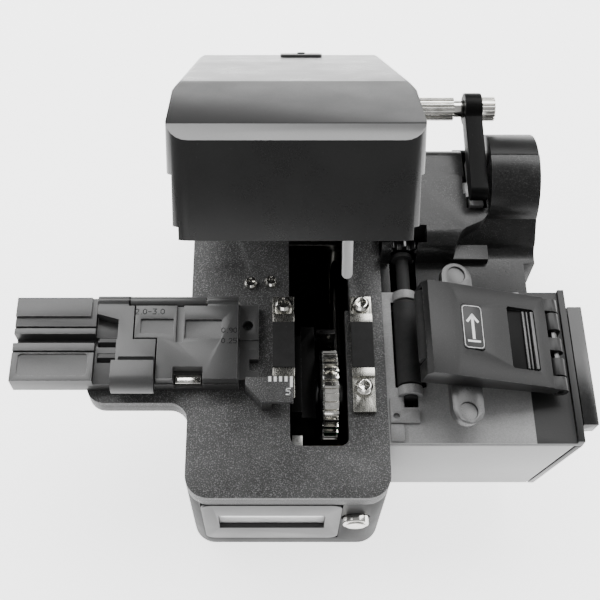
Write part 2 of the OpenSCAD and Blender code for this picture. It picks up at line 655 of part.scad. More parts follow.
module lid_shell() color("#2d2d2d")
  opened()
    difference() {
      union() {
        difference() {
          intersection() {
            slab_x(lid_x0, lid_x1) polygon(lid_profile);
            translate([0, 0, lid_under - 9]) linear_extrude(60) lid_plan();
            slab_y(lid_front - 1, lid_back + 1)
              translate([lid_x0, lid_under - 20])
                rounded_rect(lid_x1 - lid_x0, lid_crown - lid_under + 20, lid_edge_r);
          }
          slab_x(-body_w / 2 + lid_side_in + lid_wall, body_w / 2 - lid_side_in - lid_wall)
            polygon(lid_inside);
        }
        // bosses for the inner cover's screws
        for (p = lid_screw_points)
          translate([p[0], p[1], lid_cover_z + 1])
            cylinder(h = (p[1] > 0 ? lid_crown - 1 : lid_front_top + 1.6) - lid_cover_z - 1, d = 4.4);
      }
      // the skirt stands in from the upper part, and its lip a little more
      slab_x(lid_x0 - 1, -body_w / 2 + lid_side_in) lid_skirt_cut(lid_step_z);
      slab_x(lid_x0 - 1, -body_w / 2 + lid_side_in + 1) lid_skirt_cut(lid_under + lid_lip_h);
      slab_x(skirt_x1, lid_x1 + 1) lid_skirt_cut(lid_step_z);
      slab_x(skirt_x1 - 1, lid_x1 + 1) lid_skirt_cut(lid_under + lid_lip_h);
      // and further in beside the drive housing
      box(body_w / 2 - lid_side_in, step_y - 0.6, lid_under - 1, lid_x1 + 1, hinge_y - 10, lid_step_z);
      box(body_w / 2 - 0.3, hinge_y - 11, lid_under - 1, lid_x1 + 1, lid_back + 1, lid_step_z);
      // notch over the fibre holder on the left, and over the anvil on the right
      box(-body_w, tray_y0 - 1.4, lid_under - 1, 0, tray_y1 + 1.8, tray_top + 1.8);
      box(0, anvil_y0 - anvil_tab - anvil_lead - 0.6, lid_under - 1, body_w,
        anvil_y1 + anvil_tab + 0.6, plate_top + anvil_tab_t + screw_head_d * 0.42 + 0.6);
      slab_x(-post_x - post_w - ear_gap, -post_x + ear_gap) ear_clearance();
      slab_x(post_x - ear_gap, post_x + post_w + ear_gap) ear_clearance();
      rod_x(-body_w, body_w, hinge_y, hinge_z, shaft_d);
      for (p = lid_screw_points)
        translate([p[0], p[1], lid_cover_z]) cylinder(h = 7, d = 1.9);
    }
module lid_skirt_cut(z)
  polygon([[lid_front - 1, lid_under - 1], [lid_front - 1, z], [hinge_y - 10, z],
    [hinge_y - 10, lid_under - 1]]);
// Space around a hinge post as the lid turns about the shaft
module ear_clearance() {
  translate([hinge_y, hinge_z]) circle(ear_r);
  translate([hinge_y - ear_r, hinge_z - 20]) square([20, 20]);
  for (a = [lid_open / 3, lid_open * 2 / 3, lid_open + 1])
    translate([hinge_y, hinge_z])
      rotate(a) translate([-ear_r, -20]) square([2 * ear_r, 20]);
}
lid_cover_z = lid_under + 12;
lid_screw_points = [for (sx = [-1, 1], y = [lid_front + 7, hinge_y - 17])
  [sx * (body_w / 2 - lid_side_in - lid_wall - 3), y]];
clamp_len = 10;
clamp_boss_h = 8;
clamp_w = 3.2;
clamp_x_left = anvil_left_x + anvil_w / 2;
clamp_x_right = anvil_right_x + clamp_w / 2;
clamp_boss_d = 4.4;
stem_d = 2.4;
striker_d = 2.3;
striker_x = slot_right - 0.35;
striker_y = from_front(fibre_y) + 22;
striker_tip_z = rail_z + 5;                // height of its tip with the lid shut
striker_len = lid_cover_z - striker_tip_z;
module lid_inner_cover() color("#262628")
  opened()
    difference() {
      union() {
        box(-body_w / 2 + lid_side_in + lid_wall + 0.1, lid_front + lid_wall + 0.1, lid_cover_z - 2,
          body_w / 2 - lid_side_in - lid_wall - 0.1, hinge_y - 13.1, lid_cover_z);
        for (x = [clamp_x_left, clamp_x_right])
          translate([x, from_front(fibre_y), lid_cover_z - e])
            cylinder(h = clamp_boss_h, d = clamp_boss_d);
        for (p = lid_screw_points)
          translate([p[0], p[1], lid_cover_z - e]) cylinder(h = 1, d = 4.4);
      }
      for (x = [clamp_x_left, clamp_x_right]) {
        translate([x, from_front(fibre_y), lid_cover_z - 3])
          cylinder(h = clamp_boss_h + 2, d = stem_d + 2 * run_gap);
      }
      for (p = lid_screw_points)
        translate([p[0], p[1], lid_cover_z - 3]) cylinder(h = 6, d = 2.2);
      translate([striker_x, striker_y, lid_cover_z - 3]) cylinder(h = 6, d = striker_d + 0.05);
    }
module lid_screws() color("silver")
  opened()
    for (p = lid_screw_points)
      translate([p[0], p[1], lid_cover_z - 2])
        mirror([0, 0, 1]) pan_screw(0, 0, 0, 3.4, 1.85, 3);
module striker_rod() color("#cfcfc8")
  opened()
    translate([striker_x, striker_y, lid_cover_z])
      union() {
        translate([0, 0, striker_d / 2 - striker_len]) {
          cylinder(h = striker_len - striker_d / 2, d = striker_d);
          sphere(d = striker_d);
        }
        cylinder(h = 0.9, d = striker_d + 1.6);
      }

clamp_gap = 0.3;
clamp_travel = 1.5;
clamp_pad_t = 1;
clamp_block_z = fibre_z + clamp_gap + clamp_pad_t;
module clamp(x)
  opened()
    union() {
      box(x - clamp_w / 2, from_front(fibre_y) - clamp_len / 2, clamp_block_z, x + clamp_w / 2,
        from_front(fibre_y) + clamp_len / 2, clamp_block_z + 3);
      translate([x, from_front(fibre_y), clamp_block_z + 3 - e])
        cylinder(h = lid_cover_z - clamp_block_z - 3 + clamp_boss_h - clamp_travel - 1.3, d = stem_d);
    }
module clamp_pad(x)
  opened()
    box(x - clamp_w / 2 + 0.3, from_front(fibre_y) - clamp_len / 2 + 0.4, fibre_z + clamp_gap,
      x + clamp_w / 2 - 0.3, from_front(fibre_y) + clamp_len / 2 - 0.4, clamp_block_z);
module left_clamp() color("#8f9298") clamp(clamp_x_left);
module right_clamp() color("#8f9298") clamp(clamp_x_right);
module clamp_pads_left() color("#1c1c1e") clamp_pad(clamp_x_left);
module clamp_pads_right() color("#1c1c1e") clamp_pad(clamp_x_right);

// ---- hinge ----
bush_wall = 1;
module hinge_bracket() color("#343437")
  difference() {
    union() {
      for (s = [-1, 1])
        slab_x(s > 0 ? post_x : -post_x - post_w, s > 0 ? post_x + post_w : -post_x)
          union() {
            translate([hinge_y, hinge_z]) circle(4.6);
            translate([hinge_y - 4.6, plate_top]) square([9.2, hinge_h]);
          }
      box(-post_x - e, hinge_y - 4.6, plate_top, post_x + e, hinge_y + 4.4, plate_top + 1.4);
    }
    rod_x(-body_w, body_w, hinge_y, hinge_z, shaft_d + 2 * bush_wall);
  }
module hinge_bushes() color("#b08d45")
  for (s = [-1, 1])
    difference() {
      rod_x(s > 0 ? post_x : -post_x - post_w, s > 0 ? post_x + post_w : -post_x, hinge_y,
        hinge_z, shaft_d + 2 * bush_wall);
      rod_x(-body_w, body_w, hinge_y, hinge_z, shaft_d + 2 * run_gap);
    }

arm_x0 = body_w / 2 + 20;
arm_x1 = arm_x0 + arm_w;
knurl_x0 = lid_x1 + 0.6;
knurl_x1 = arm_x0 - 2.4;
knurl_ribs = 20;
module hinge_shaft() color("silver")
  union() {
    rod_x(-body_w / 2 + 2, arm_x1 + 1.6, hinge_y, hinge_z, shaft_d);
    slab_x(knurl_x0, knurl_x1)
      translate([hinge_y, hinge_z])
        union() {
          circle(knurl_d / 2 - 0.35);
          for (i = [0 : knurl_ribs - 1])
            rotate(i * 360 / knurl_ribs)
              translate([0, -0.22]) square([knurl_d / 2, 0.44]);
        }
  }
cap_ribs = 18;
module shaft_cap() color("silver")
  difference() {
    slab_x(arm_x1 + 0.1, arm_x1 + 3.2)
      translate([hinge_y, hinge_z])
        union() {
          circle(knurl_d / 2 - 0.2);
          for (i = [0 : cap_ribs - 1])
            rotate(i * 360 / cap_ribs) translate([0, -0.2]) square([knurl_d / 2 + 0.1, 0.4]);
        }
    rod_x(arm_x0, arm_x1 + 1.7, hinge_y, hinge_z, shaft_d);
  }
// The arm hangs a little below the level when the lid is open
arm_drop = 5.5;
arm_t = 4.2;
module drive_arm() color("#0c0c0e")
  difference() {
    slab_x(arm_x0, arm_x1)
      translate([hinge_y, hinge_z])
        rotate(180 + arm_drop)
          union() {
            circle(knurl_d / 2 + 1);
            translate([0, -arm_t / 2]) square([arm_len - arm_t / 2, arm_t]);
            translate([arm_len - arm_t / 2, 0]) circle(arm_t / 2);
          }
    rod_x(arm_x0 - 1, arm_x1 + 1, hinge_y, hinge_z, shaft_d);
  }

// ---- scrap collector ----
bin_x0 = body_w / 2;
bin_x1 = bin_x0 + bin_len;
bin_y0 = from_front(fibre_y) - 22.2;
bin_y1 = bin_y0 + bin_d;
bin_top_z = body_h;
bin_slope = 5;                             // how far the outer end leans in toward the bottom
bin_top_t = 1.6;
roller_x = bin_x0 + 5.1;
roller_z = bin_top_z - 0.2;
roller_y0 = from_front(fibre_y) - 9;
roller_y1 = roller_y0 + feed_len;
neck_d = 3;
journal = 2;                               // length of the bearing at each end of the roller
cover_hinge_x = bin_x1 - 4.5;
cover_hinge_z = bin_top_z + 3.4;
cover_pin_d = 1.6;

function slope_x(z) = bin_x1 - bin_slope * (bin_top_z - z) / (bin_top_z - bin_floor_z);
shell_x1 = slope_x(bin_floor_z) - 1.6;

module bin_shell() color("#3a3a3c")
  difference() {
    slab_y(bin_y0, bin_y1)
      polygon([[bin_x0, bin_floor_z], [shell_x1, bin_floor_z],
        [shell_x1 + bin_slope, bin_top_z - bin_top_t], [bin_x0, bin_top_z - bin_top_t]]);
    slab_y(bin_y0 + bin_wall, bin_y1 - bin_wall)
      polygon([[bin_x0 + bin_wall, bin_floor_z + bin_wall],
        [bin_x1 + 10, bin_floor_z + bin_wall], [bin_x1 + 10, bin_top_z], [bin_x0 + bin_wall, bin_top_z]]);
    // saddles below the feed roller's bearings
    rod_y(bin_y1 - 2 * bin_wall, bin_y1 + 1, roller_x, roller_z, bearing_d + 0.4);
  }

roller_slot_x0 = roller_x - feed_d / 2 - 0.5;
roller_slot_x1 = roller_x + feed_d / 2 + 0.9;
bearing_d = neck_d + 2.4;
module bin_top() color("#6a696c")
  difference() {
    union() {
      box(bin_x0, bin_y0, bin_top_z - bin_top_t, bin_x1, bin_y1, bin_top_z);
      for (y = [roller_y0 - 0.5 - journal, roller_y1 + 0.5]) {
        rod_y(y, y + journal, roller_x, roller_z, bearing_d);
        box(roller_x - bearing_d / 2, y, bin_top_z - bin_top_t, roller_x + bearing_d / 2,
          y + journal, roller_z);
      }
      // knuckles of the cover hinge
      for (y = cover_knuckles) {
        rod_y(y, y + 4, cover_hinge_x, cover_hinge_z, 3.4);
        box(cover_hinge_x - 1.7, y, bin_top_z - e, cover_hinge_x + 1.7, y + 4, cover_hinge_z);
      }
      // outer wall above the drawer's handle
      box(bin_x1 - 1.4, bin_y0, bin_top_z - e, bin_x1, bin_y1, bin_top_z + 1.2);
    }
    box(roller_slot_x0, roller_y0 - 0.45, bin_top_z - 9, roller_slot_x1, roller_y1 + 0.45,
      bin_top_z + 5);
    rod_y(roller_y0 - journal - 3, bin_y1 + 1, roller_x, roller_z, neck_d + 2 * run_gap);
    rod_y(bin_y0, bin_y1, cover_hinge_x, cover_hinge_z, cover_pin_d);
  }
cover_y0 = from_front(fibre_y) - 12;
cover_y1 = from_front(fibre_y) + 9.6;
cover_knuckles = [cover_y0 + 3.4, cover_y1 - 7.4];
module cover_hinge_pin() color("silver")
  rod_y(cover_y0 + 0.6, cover_y1 - 0.6, cover_hinge_x, cover_hinge_z, cover_pin_d - 0.02);

drawer_gap = 0.3;
drawer_z1 = bin_top_z - bin_top_t - drawer_gap - 4.4;
drawer_wall = 1.2;
drawer_x0 = bin_x0 + bin_wall + 1;
module scrap_drawer() color("#2a2a2c")
  difference() {
    union() {
      slab_y(bin_y0 + bin_wall + drawer_gap, bin_y1 - bin_wall - drawer_gap)
        polygon([[drawer_x0, bin_floor_z + bin_wall + drawer_gap],
          [shell_x1 + 0.4, bin_floor_z + bin_wall + drawer_gap],
          [shell_x1 + 0.4 + bin_slope * 0.8, drawer_z1], [drawer_x0, drawer_z1]]);
      slab_y(bin_y0, bin_y1)
        polygon([[shell_x1 + drawer_gap, bin_floor_z],
          [shell_x1 + 1.6, bin_floor_z], [bin_x1, bin_top_z - bin_top_t - drawer_gap],
          [bin_x1 - 1.6 + drawer_gap, bin_top_z - bin_top_t - drawer_gap]]);
      // handle rail along the outer end
      slab_y(bin_y0 + 4, bin_y1 - 4)
        polygon([[bin_x1 - 1, bin_top_z - 4], [bin_x1 + 3.2, bin_top_z - 3.2],
          [bin_x1 + 3.6, bin_top_z + 0.6], [bin_x1 + 0.4, bin_top_z + 0.6],
          [bin_x1 + 0.4, bin_top_z - 2]]);
    }
    slab_y(bin_y0 + bin_wall + drawer_gap + drawer_wall, bin_y1 - bin_wall - drawer_gap - drawer_wall)
      polygon([[drawer_x0 + drawer_wall, bin_floor_z + bin_wall + drawer_gap + drawer_wall],
        [shell_x1 - 0.8, bin_floor_z + bin_wall + drawer_gap + drawer_wall],
        [shell_x1 - 0.8 + bin_slope * 0.8, bin_top_z], [drawer_x0 + drawer_wall, bin_top_z]]);
  }

module corner_bracket() color("#77757c")
  difference() {
    union() {
      box(bin_x0 + 0.4, bin_y0 + 4.4, bin_top_z, bin_x0 + 6.6, bin_y0 + 7.4, bin_top_z + 0.8);
      box(bin_x0 + 0.4, bin_y0 + 4.4, bin_top_z, bin_x0 + 3, roller_y0 - journal - 1.2,
        bin_top_z + 0.8);
      box(bin_x0 + 0.4, bin_y0 + 0.4, bin_top_z, bin_x0 + 3.2, bin_y0 + 4, bin_top_z + 0.6);
      box(bin_x0 + 0.4, bin_y0 + 3.9, bin_top_z, bin_x0 + 3.2, bin_y0 + 4.5, bin_top_z + 0.3);
    }
    translate([bin_x0 + 1.7, bin_y0 + 5.9, bin_top_z - 1]) cylinder(h = 3, d = 1.4);
  }

gear_t = 3;
gear_y0 = bin_y1 + 9.6;
clutch_y = gear_y0 - 1.3;
module feed_roller() color("#1d1c1e")
  union() {
    rod_y(roller_y0, roller_y1, roller_x, roller_z, feed_d);
    rod_y(roller_y0 - 0.5 - journal - 0.6, gear_y0 + gear_t + 0.8, roller_x, roller_z, neck_d);
    rod_y(clutch_y, clutch_y + 1.1, roller_x, roller_z, neck_d + 2);
  }

pinch_d = 4;
pinch_x = roller_x + 1.8;
pinch_z = roller_z + sqrt(pow(feed_d / 2 + pinch_d / 2 + free_gap, 2) - 1.8 * 1.8);
pinch_pin_d = 1.4;
cover_under = bin_top_z + 2.4;
// Turns its children from the closed to the resting position of the roller cover
module cover_raised(angle = cover_rest)
  translate([cover_hinge_x, 0, cover_hinge_z])
    rotate([0, angle, 0])
      translate([-cover_hinge_x, 0, -cover_hinge_z])
        children();
pinch_y0 = roller_y0 + 1;
pinch_y1 = roller_y1 - 3;
module pinch_roller() color("#262527")
  cover_raised()
    union() {
      rod_y(pinch_y0, pinch_y1, pinch_x, pinch_z, pinch_d);
      rod_y(pinch_y0 - 1.6, pinch_y1 + 1.6, pinch_x, pinch_z, pinch_pin_d);
    }
cover_left = pinch_x - 1.2;
cover_right = cover_hinge_x - 2.2;
module roller_cover() color("#4f4f4f")
  cover_raised()
    difference() {
      union() {
        slab_y(cover_y0, cover_y1)
          polygon([[cover_left, cover_under], [cover_left, pinch_z + 2.2],
            [cover_left + 1, pinch_z + pinch_d / 2 + 1.4], [cover_left + 6, pinch_z + 3.2],
            [cover_right - 4, cover_under + 3.4], [cover_right, cover_under + 3],
            [cover_right, cover_under]]);
        // arms out to the hinge, with the knuckles between those of the collector
        for (y = [cover_y0, (cover_knuckles[0] + cover_knuckles[1]) / 2 + 0.3, cover_y1 - 3])
          difference() {
            union() {
              rod_y(y, y + 3, cover_hinge_x, cover_hinge_z, 3.4);
              box(cover_right - 1, y, cover_hinge_z - 1.2, cover_hinge_x, y + 3,
                cover_hinge_z + 1.6);
            }
          }
      }
      // hollow underside with the pinch roller's pocket
      box(cover_left + 1.2, cover_y0 + 1.4, cover_under - 1, cover_right - 1.6, cover_y1 - 1.4,
        cover_under + 1.4);
      box(cover_left - 1, pinch_y0 - 0.4, cover_under - 1, cover_left + 6, pinch_y1 + 0.4,
        pinch_z + pinch_d / 2 + 0.3);
      rod_y(pinch_y0 - 1.8, pinch_y1 + 1.8, pinch_x, pinch_z, pinch_pin_d + 2 * run_gap);
      rod_y(cover_y0 - 1, cover_y1 + 1, cover_hinge_x, cover_hinge_z, cover_pin_d + 2 * run_gap);
      // recessed window
      rounded_box(cover_right - 9.4, cover_y0 + 3.4, cover_under + 2.6, 6.6, 14.6, 3, 0.6);
      rounded_box(label_x0 - 0.1, label_y0 - 0.1, label_z, label_w + 0.2, label_d + 0.2, 3, 0.8);
    }
// Lift bar: a flat bar under the cover with a round tab at each end
bar_w = 7;
bar_x = (cover_left + cover_right) / 2 - 4.2;
bar_y0 = cover_y0 - 8.4;
bar_y1 = cover_y1 + 8.2;
module lift_bar() color("#5d5d5f")
  cover_raised()
    difference() {
      translate([bar_x, 0, cover_under - 2])
        linear_extrude(2)
          union() {
            translate([-bar_w / 2, bar_y0 + bar_w / 2]) square([bar_w, bar_y1 - bar_y0 - bar_w]);
            for (y = [bar_y0 + bar_w / 2, bar_y1 - bar_w / 2]) translate([0, y]) circle(bar_w / 2);
          }
      for (y = [bar_y0 + bar_w / 2 - 0.6, bar_y1 - bar_w / 2 + 0.6])
        translate([bar_x, y, cover_under - 0.5]) cylinder(h = 2, d = bar_w - 3);
    }
label_w = 4.8;
label_d = 10.4;
label_x0 = cover_left + 8.2;
label_y0 = from_front(fibre_y) - 5.6;
label_z = cover_under + 3.5;
module cover_label() color("#e8e8e8")
  cover_raised()
    rounded_box(label_x0, label_y0, label_z, label_w, label_d, 1.5, 0.8);

// ---- drive ----
gear_module = 0.8;
pinion_teeth = 10;
drive_teeth = 26;
roller_teeth = 10;
pitch_r_pinion = gear_module * pinion_teeth / 2;
pitch_r_drive = gear_module * drive_teeth / 2;
pitch_r_roller = gear_module * roller_teeth / 2;
addendum = 0.75 * gear_module;
dedendum = 1.05 * gear_module;
root_in = 0.3;                             // how far a tooth reaches inside the root circle
tooth_share = 0.4;                         // tooth width as a share of the pitch at mid height

// Spur gear outline about the origin; phase turns it by that many degrees
module gear_outline(teeth, phase) {
  r = gear_module * teeth / 2;
  pitch = 360 / teeth;
  half_mid = pitch * tooth_share / 2;
  rotate(phase)
    union() {
      circle(r - dedendum);
      for (i = [0 : teeth - 1])
        rotate(i * pitch)
          polygon([
            [0, 0],
            (r - dedendum - root_in) * [cos(half_mid * 1.5), -sin(half_mid * 1.5)],
            r * [cos(half_mid), -sin(half_mid)],
            (r + addendum) * [cos(half_mid * 0.5), -sin(half_mid * 0.5)],
            (r + addendum) * [cos(half_mid * 0.5), sin(half_mid * 0.5)],
            r * [cos(half_mid), sin(half_mid)],
            (r - dedendum - root_in) * [cos(half_mid * 1.5), sin(half_mid * 1.5)]]);
    }
}
module gear_y(x, z, y0, teeth, phase)
  translate([x, y0 + gear_t, z])
    rotate([90, 0, 0])
      linear_extrude(gear_t)
        gear_outline(teeth, phase);

rack_x0 = arm_x0 + 0.2;
rack_x1 = arm_x1 - 0.2;
mesh_gap = 0.08;
shaft_x = rack_x0 - pitch_r_pinion - mesh_gap;
gear_distance = pitch_r_drive + pitch_r_roller + mesh_gap;
shaft_z = roller_z - sqrt(pow(gear_distance, 2) - pow(shaft_x - roller_x, 2));
rack_y = hinge_y - arm_len + 4;
rack_depth = 4;
push_gap = 1.6;                            // free swing of the arm before it meets the rack
push_z = hinge_z - arm_len * sin(arm_drop) - arm_t / 2 - push_gap;
rack_len = push_z - shaft_z + 4;
drive_shaft_d = 2.4;
module drive_rack() color("#d9d6cf")
  union() {
    box(rack_x0 + addendum, rack_y, push_z - rack_len, rack_x1, rack_y + rack_depth, push_z);
    box(rack_x0 + addendum, rack_y - 3, push_z - 2.4, rack_x1, rack_y + rack_depth + 6, push_z);
    slab_y(rack_y, rack_y + rack_depth)
      rack_teeth();
  }
rack_pitch = PI * gear_module;
rack_count = floor((push_z - shaft_z) / rack_pitch + 1 - tooth_share);
module rack_teeth()
  for (i = [0 : rack_count])
    let (z = shaft_z - rack_pitch + i * rack_pitch, half = rack_pitch * tooth_share / 2)
      polygon([[rack_x0 + dedendum + 0.1, z - half * 1.5], [rack_x0, z - half],
        [rack_x0 - addendum, z - half * 0.5], [rack_x0 - addendum, z + half * 0.5],
        [rack_x0, z + half], [rack_x0 + dedendum + 0.1, z + half * 1.5]]);

mesh_angle = atan2(roller_z - shaft_z, roller_x - shaft_x);
module drive_shaft() color("#d9d6cf")
  union() {
    rod_y(gear_y0 - 1.6, rack_y + rack_depth + 2, shaft_x, shaft_z, drive_shaft_d);
    gear_y(shaft_x, shaft_z, gear_y0, drive_teeth, mesh_angle);
    translate([shaft_x, rack_y + rack_depth, shaft_z])
      rotate([90, 0, 0])
        linear_extrude(rack_depth)
          gear_outline(pinion_teeth, 180 / pinion_teeth);
  }
module roller_gear() color("#c8a24c")
  difference() {
    gear_y(roller_x, roller_z, gear_y0, roller_teeth,
      mesh_angle + 180 + 180 / roller_teeth);
    rod_y(gear_y0 - 1, gear_y0 + gear_t + 1, roller_x, roller_z, neck_d + 2 * run_gap);
  }

// Housing: a box beside the body, open above the rack, with half of the spring drum
drum_y = hinge_y - 15;
drum_z = plate_top + 4;
drum_x0 = arm_x1 + 0.7;
drum_x1 = drum_x0 + drum_len;
housing_wall = 1.4;
housing_y0 = bin_y1;
housing_y1 = rack_y + rack_depth + 9;
housing_top = plate_top + 8;
housing_z0 = 3;
step_y = gear_y0 - 2;                      // front of the raised part
slot_y0 = rack_y - 4.4;                    // front end of the arm's slot
roll_r = 4.4;                              // radius of its rolled front edge
function arc(cx, cy, r, a0, a1, n = 10) =
  [for (i = [0 : n]) let (a = a0 + (a1 - a0) * i / n) [cx + r * cos(a), cy + r * sin(a)]];
raised_profile = concat(
  [[step_y, housing_z0]], arc(step_y + roll_r, housing_top - roll_r, roll_r, 180, 90),
  arc(housing_y1 - 3, housing_top - 3, 3, 90, 0), [[housing_y1, housing_z0]]);
curve_r = 6;
// Plan of what is cut from the raised part: an S curve from the front edge to the arm's slot
module s_cut() {
  cx = arm_x0 - 2.8;
  cy = step_y + 3.4;
  polygon(concat(
    [[cx - 0.6, step_y - 9], [cx - 0.6, step_y]],
    arc(cx + curve_r - 0.6, step_y, curve_r, 180, 125),
    arc(arm_x1 - curve_r + 1, cy + 8, curve_r, -55, 0),
    [[arm_x1 + 1, rack_y + 30], [drum_x1 + 9, rack_y + 30], [drum_x1 + 9, step_y - 9]]));
}
module drum_front_profile() {
  difference() {
    translate([drum_y, drum_z]) circle(drum_r);
    translate([drum_y, drum_z - 40]) square([40, 80]);
  }
  polygon(concat(
    [[drum_y, bin_floor_z], [step_y, bin_floor_z + 2], [step_y, plate_top]],
    arc(step_y + 1, plate_top + 3, 3, 270, 350, 4),
    [[drum_y - drum_r + 0.4, drum_z + 2.4], [drum_y, drum_z + 4]]));
}
gear_room = pitch_r_drive + addendum + 0.6;
module drive_housing() color("#4a4a4c")
  difference() {
    union() {
      // low shelf behind the collector
      box(bin_x0, housing_y0, housing_z0 + 5, drum_x1 - 2.6, step_y + e, plate_top);
      difference() {
        slab_x(bin_x0, drum_x0) polygon(raised_profile);
        translate([0, 0, plate_top + 2]) linear_extrude(20) s_cut();
      }
      slab_x(arm_x0 - 3.4, drum_x1)
        intersection() {
          drum_front_profile();
          translate([step_y - 1, 0]) square([slot_y0 - step_y + 1.2, housing_top - 0.4]);
        }
      slab_x(drum_x0, drum_x1) drum_front_profile();
    }
    // rooms inside
    box(bin_x0 + housing_wall, gear_y0 + gear_t + 3, housing_z0 + housing_wall,
      shaft_x - pitch_r_pinion - 3, housing_y1 - housing_wall, housing_top - housing_wall);
    box(bin_x0 + housing_wall, housing_y0 + housing_wall, housing_z0 + 5 + housing_wall,
      drum_x1 - 2.6 - housing_wall, step_y - 0.4, plate_top - housing_wall);
    rod_y(gear_y0 - 0.5, gear_y0 + gear_t + 0.5, shaft_x, shaft_z, 2 * gear_room);
    slab_x(drum_x0 + housing_wall, drum_x1 - housing_wall)
      translate([drum_y, drum_z]) circle(drum_r - housing_wall);
    box(drum_x0 + housing_wall, gear_y0 + gear_t + 3, bin_floor_z + 2.6,
      drum_x1 - housing_wall, drum_y + e, drum_z);
    // slot for the arm and the rack
    box(arm_x0 - free_gap - 0.05, slot_y0, housing_z0 + housing_wall, arm_x1 + free_gap,
      housing_y1 + 5, housing_top + 5);
    box(arm_x1, drum_y, housing_z0 - 1, drum_x0, housing_y1 + 1, housing_top + 5);
    box(rack_x0 - addendum - 0.4, rack_y - 0.4, housing_z0 + housing_wall, arm_x0,
      rack_y + rack_depth + 0.4, housing_top + 5);
    box(shaft_x - pitch_r_pinion - 1.4, rack_y - 0.6, shaft_z - pitch_r_pinion - 1.4,
      arm_x0, rack_y + rack_depth + 0.6, shaft_z + pitch_r_pinion + 1.4);
    rod_y(step_y - 1, rack_y + rack_depth + 3, shaft_x, shaft_z, drive_shaft_d + 2 * run_gap);
    // opening around the brass gear and its shaft
    rod_y(gear_y0 - 0.5, gear_y0 + gear_t + 0.5, roller_x, roller_z,
      2 * (pitch_r_roller + addendum + 0.4));
    box(bin_x0 - 1, gear_y0 - 0.5, roller_z, roller_x + pitch_r_roller + addendum + 0.4,
      gear_y0 + gear_t + 0.5, housing_top + 1);
    box(roller_x - 3, housing_y0 - 1, roller_z - 3, roller_x + 3, gear_y0, housing_top + 1);
    rod_y(gear_y0, gear_y0 + gear_t + 2.2, roller_x, roller_z, neck_d + 2 * run_gap);
    rod_x(drum_x1 - 3, drum_x1 + 1, drum_y, drum_z, cap_d + 0.2);
  }
cap_d = 6;
module drum_rear() color("#1f1f21")
  difference() {
    slab_x(drum_x0, drum_x1)
      difference() {
        union() {
          translate([drum_y, drum_z]) circle(drum_r);
          translate([drum_y, bin_floor_z]) square([drum_r - 2, drum_z - bin_floor_z]);
        }
        translate([drum_y - 40 + 0.1, drum_z - 40]) square([40, 80]);
      }
    slab_x(drum_x0 + housing_wall, drum_x1 - housing_wall)
      translate([drum_y, drum_z]) circle(drum_r - housing_wall);
    slab_x(drum_x0 + housing_wall, drum_x1 - housing_wall)
      translate([drum_y - 1, bin_floor_z + housing_wall])
        square([drum_r - 2 - housing_wall + 1, drum_z - bin_floor_z]);
    rod_x(drum_x1 - 3, drum_x1 + 1, drum_y, drum_z, cap_d + 0.2);
  }
module drum_cap() color("silver")
  union() {
    rod_x(drum_x1 - housing_wall - 1, drum_x1 + 0.8, drum_y, drum_z, cap_d);
    rod_x(drum_x1, drum_x1 + 1.4, drum_y, drum_z, cap_d + 1.6);
  }

base_shell();
bottom_cover();
rubber_base();
bottom_screws();
top_plate();
plate_screws();
display_panel();
display_window();
counter_board();
battery();
front_button();
left_anvil();
right_anvil();
left_anvil_pad();
right_anvil_pad();
anvil_screws();
scale_plate();
guide_rails();
rail_blocks();
blade_carriage();
carriage_bushes();
blade_axle();
blade_disc();
ratchet_wheel();
index_pawl();
holder_tray();
holder_main_flap();
holder_small_flap();
holder_hinge_pin();
latch_bar();
hinge_bracket();
hinge_bushes();
lid_shell();
lid_inner_cover();
lid_screws();
hinge_shaft();
drive_arm();
shaft_cap();
striker_rod();
left_clamp();
right_clamp();
clamp_pads_left();
clamp_pads_right();
bin_shell();
bin_top();
scrap_drawer();
corner_bracket();
feed_roller();
pinch_roller();
roller_cover();
lift_bar();
cover_label();
cover_hinge_pin();
drive_housing();
drum_rear();
drum_cap();
drive_rack();
drive_shaft();
roller_gear();
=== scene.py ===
import json
import math
import bmesh
import bpy
from mathutils import Matrix, Vector


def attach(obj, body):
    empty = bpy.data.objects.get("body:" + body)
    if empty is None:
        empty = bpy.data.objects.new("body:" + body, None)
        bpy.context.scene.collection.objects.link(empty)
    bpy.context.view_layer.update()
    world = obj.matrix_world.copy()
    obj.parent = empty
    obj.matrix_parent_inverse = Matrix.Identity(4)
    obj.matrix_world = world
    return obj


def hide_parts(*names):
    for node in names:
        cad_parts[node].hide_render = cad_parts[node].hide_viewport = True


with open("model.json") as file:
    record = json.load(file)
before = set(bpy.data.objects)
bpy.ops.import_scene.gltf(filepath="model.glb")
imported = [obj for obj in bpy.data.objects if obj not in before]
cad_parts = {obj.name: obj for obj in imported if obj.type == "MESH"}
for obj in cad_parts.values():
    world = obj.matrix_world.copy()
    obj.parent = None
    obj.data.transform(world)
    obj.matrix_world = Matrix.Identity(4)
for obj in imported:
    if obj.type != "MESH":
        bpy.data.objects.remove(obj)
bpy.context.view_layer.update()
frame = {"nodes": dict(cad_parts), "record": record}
mm = 0.001
bodyOfNode = {n: b for b, ns in frame["record"]["behaviour"]["bodies"].items() for n in ns}
print("frame loaded:", len(frame["nodes"]), "nodes")

# shader building


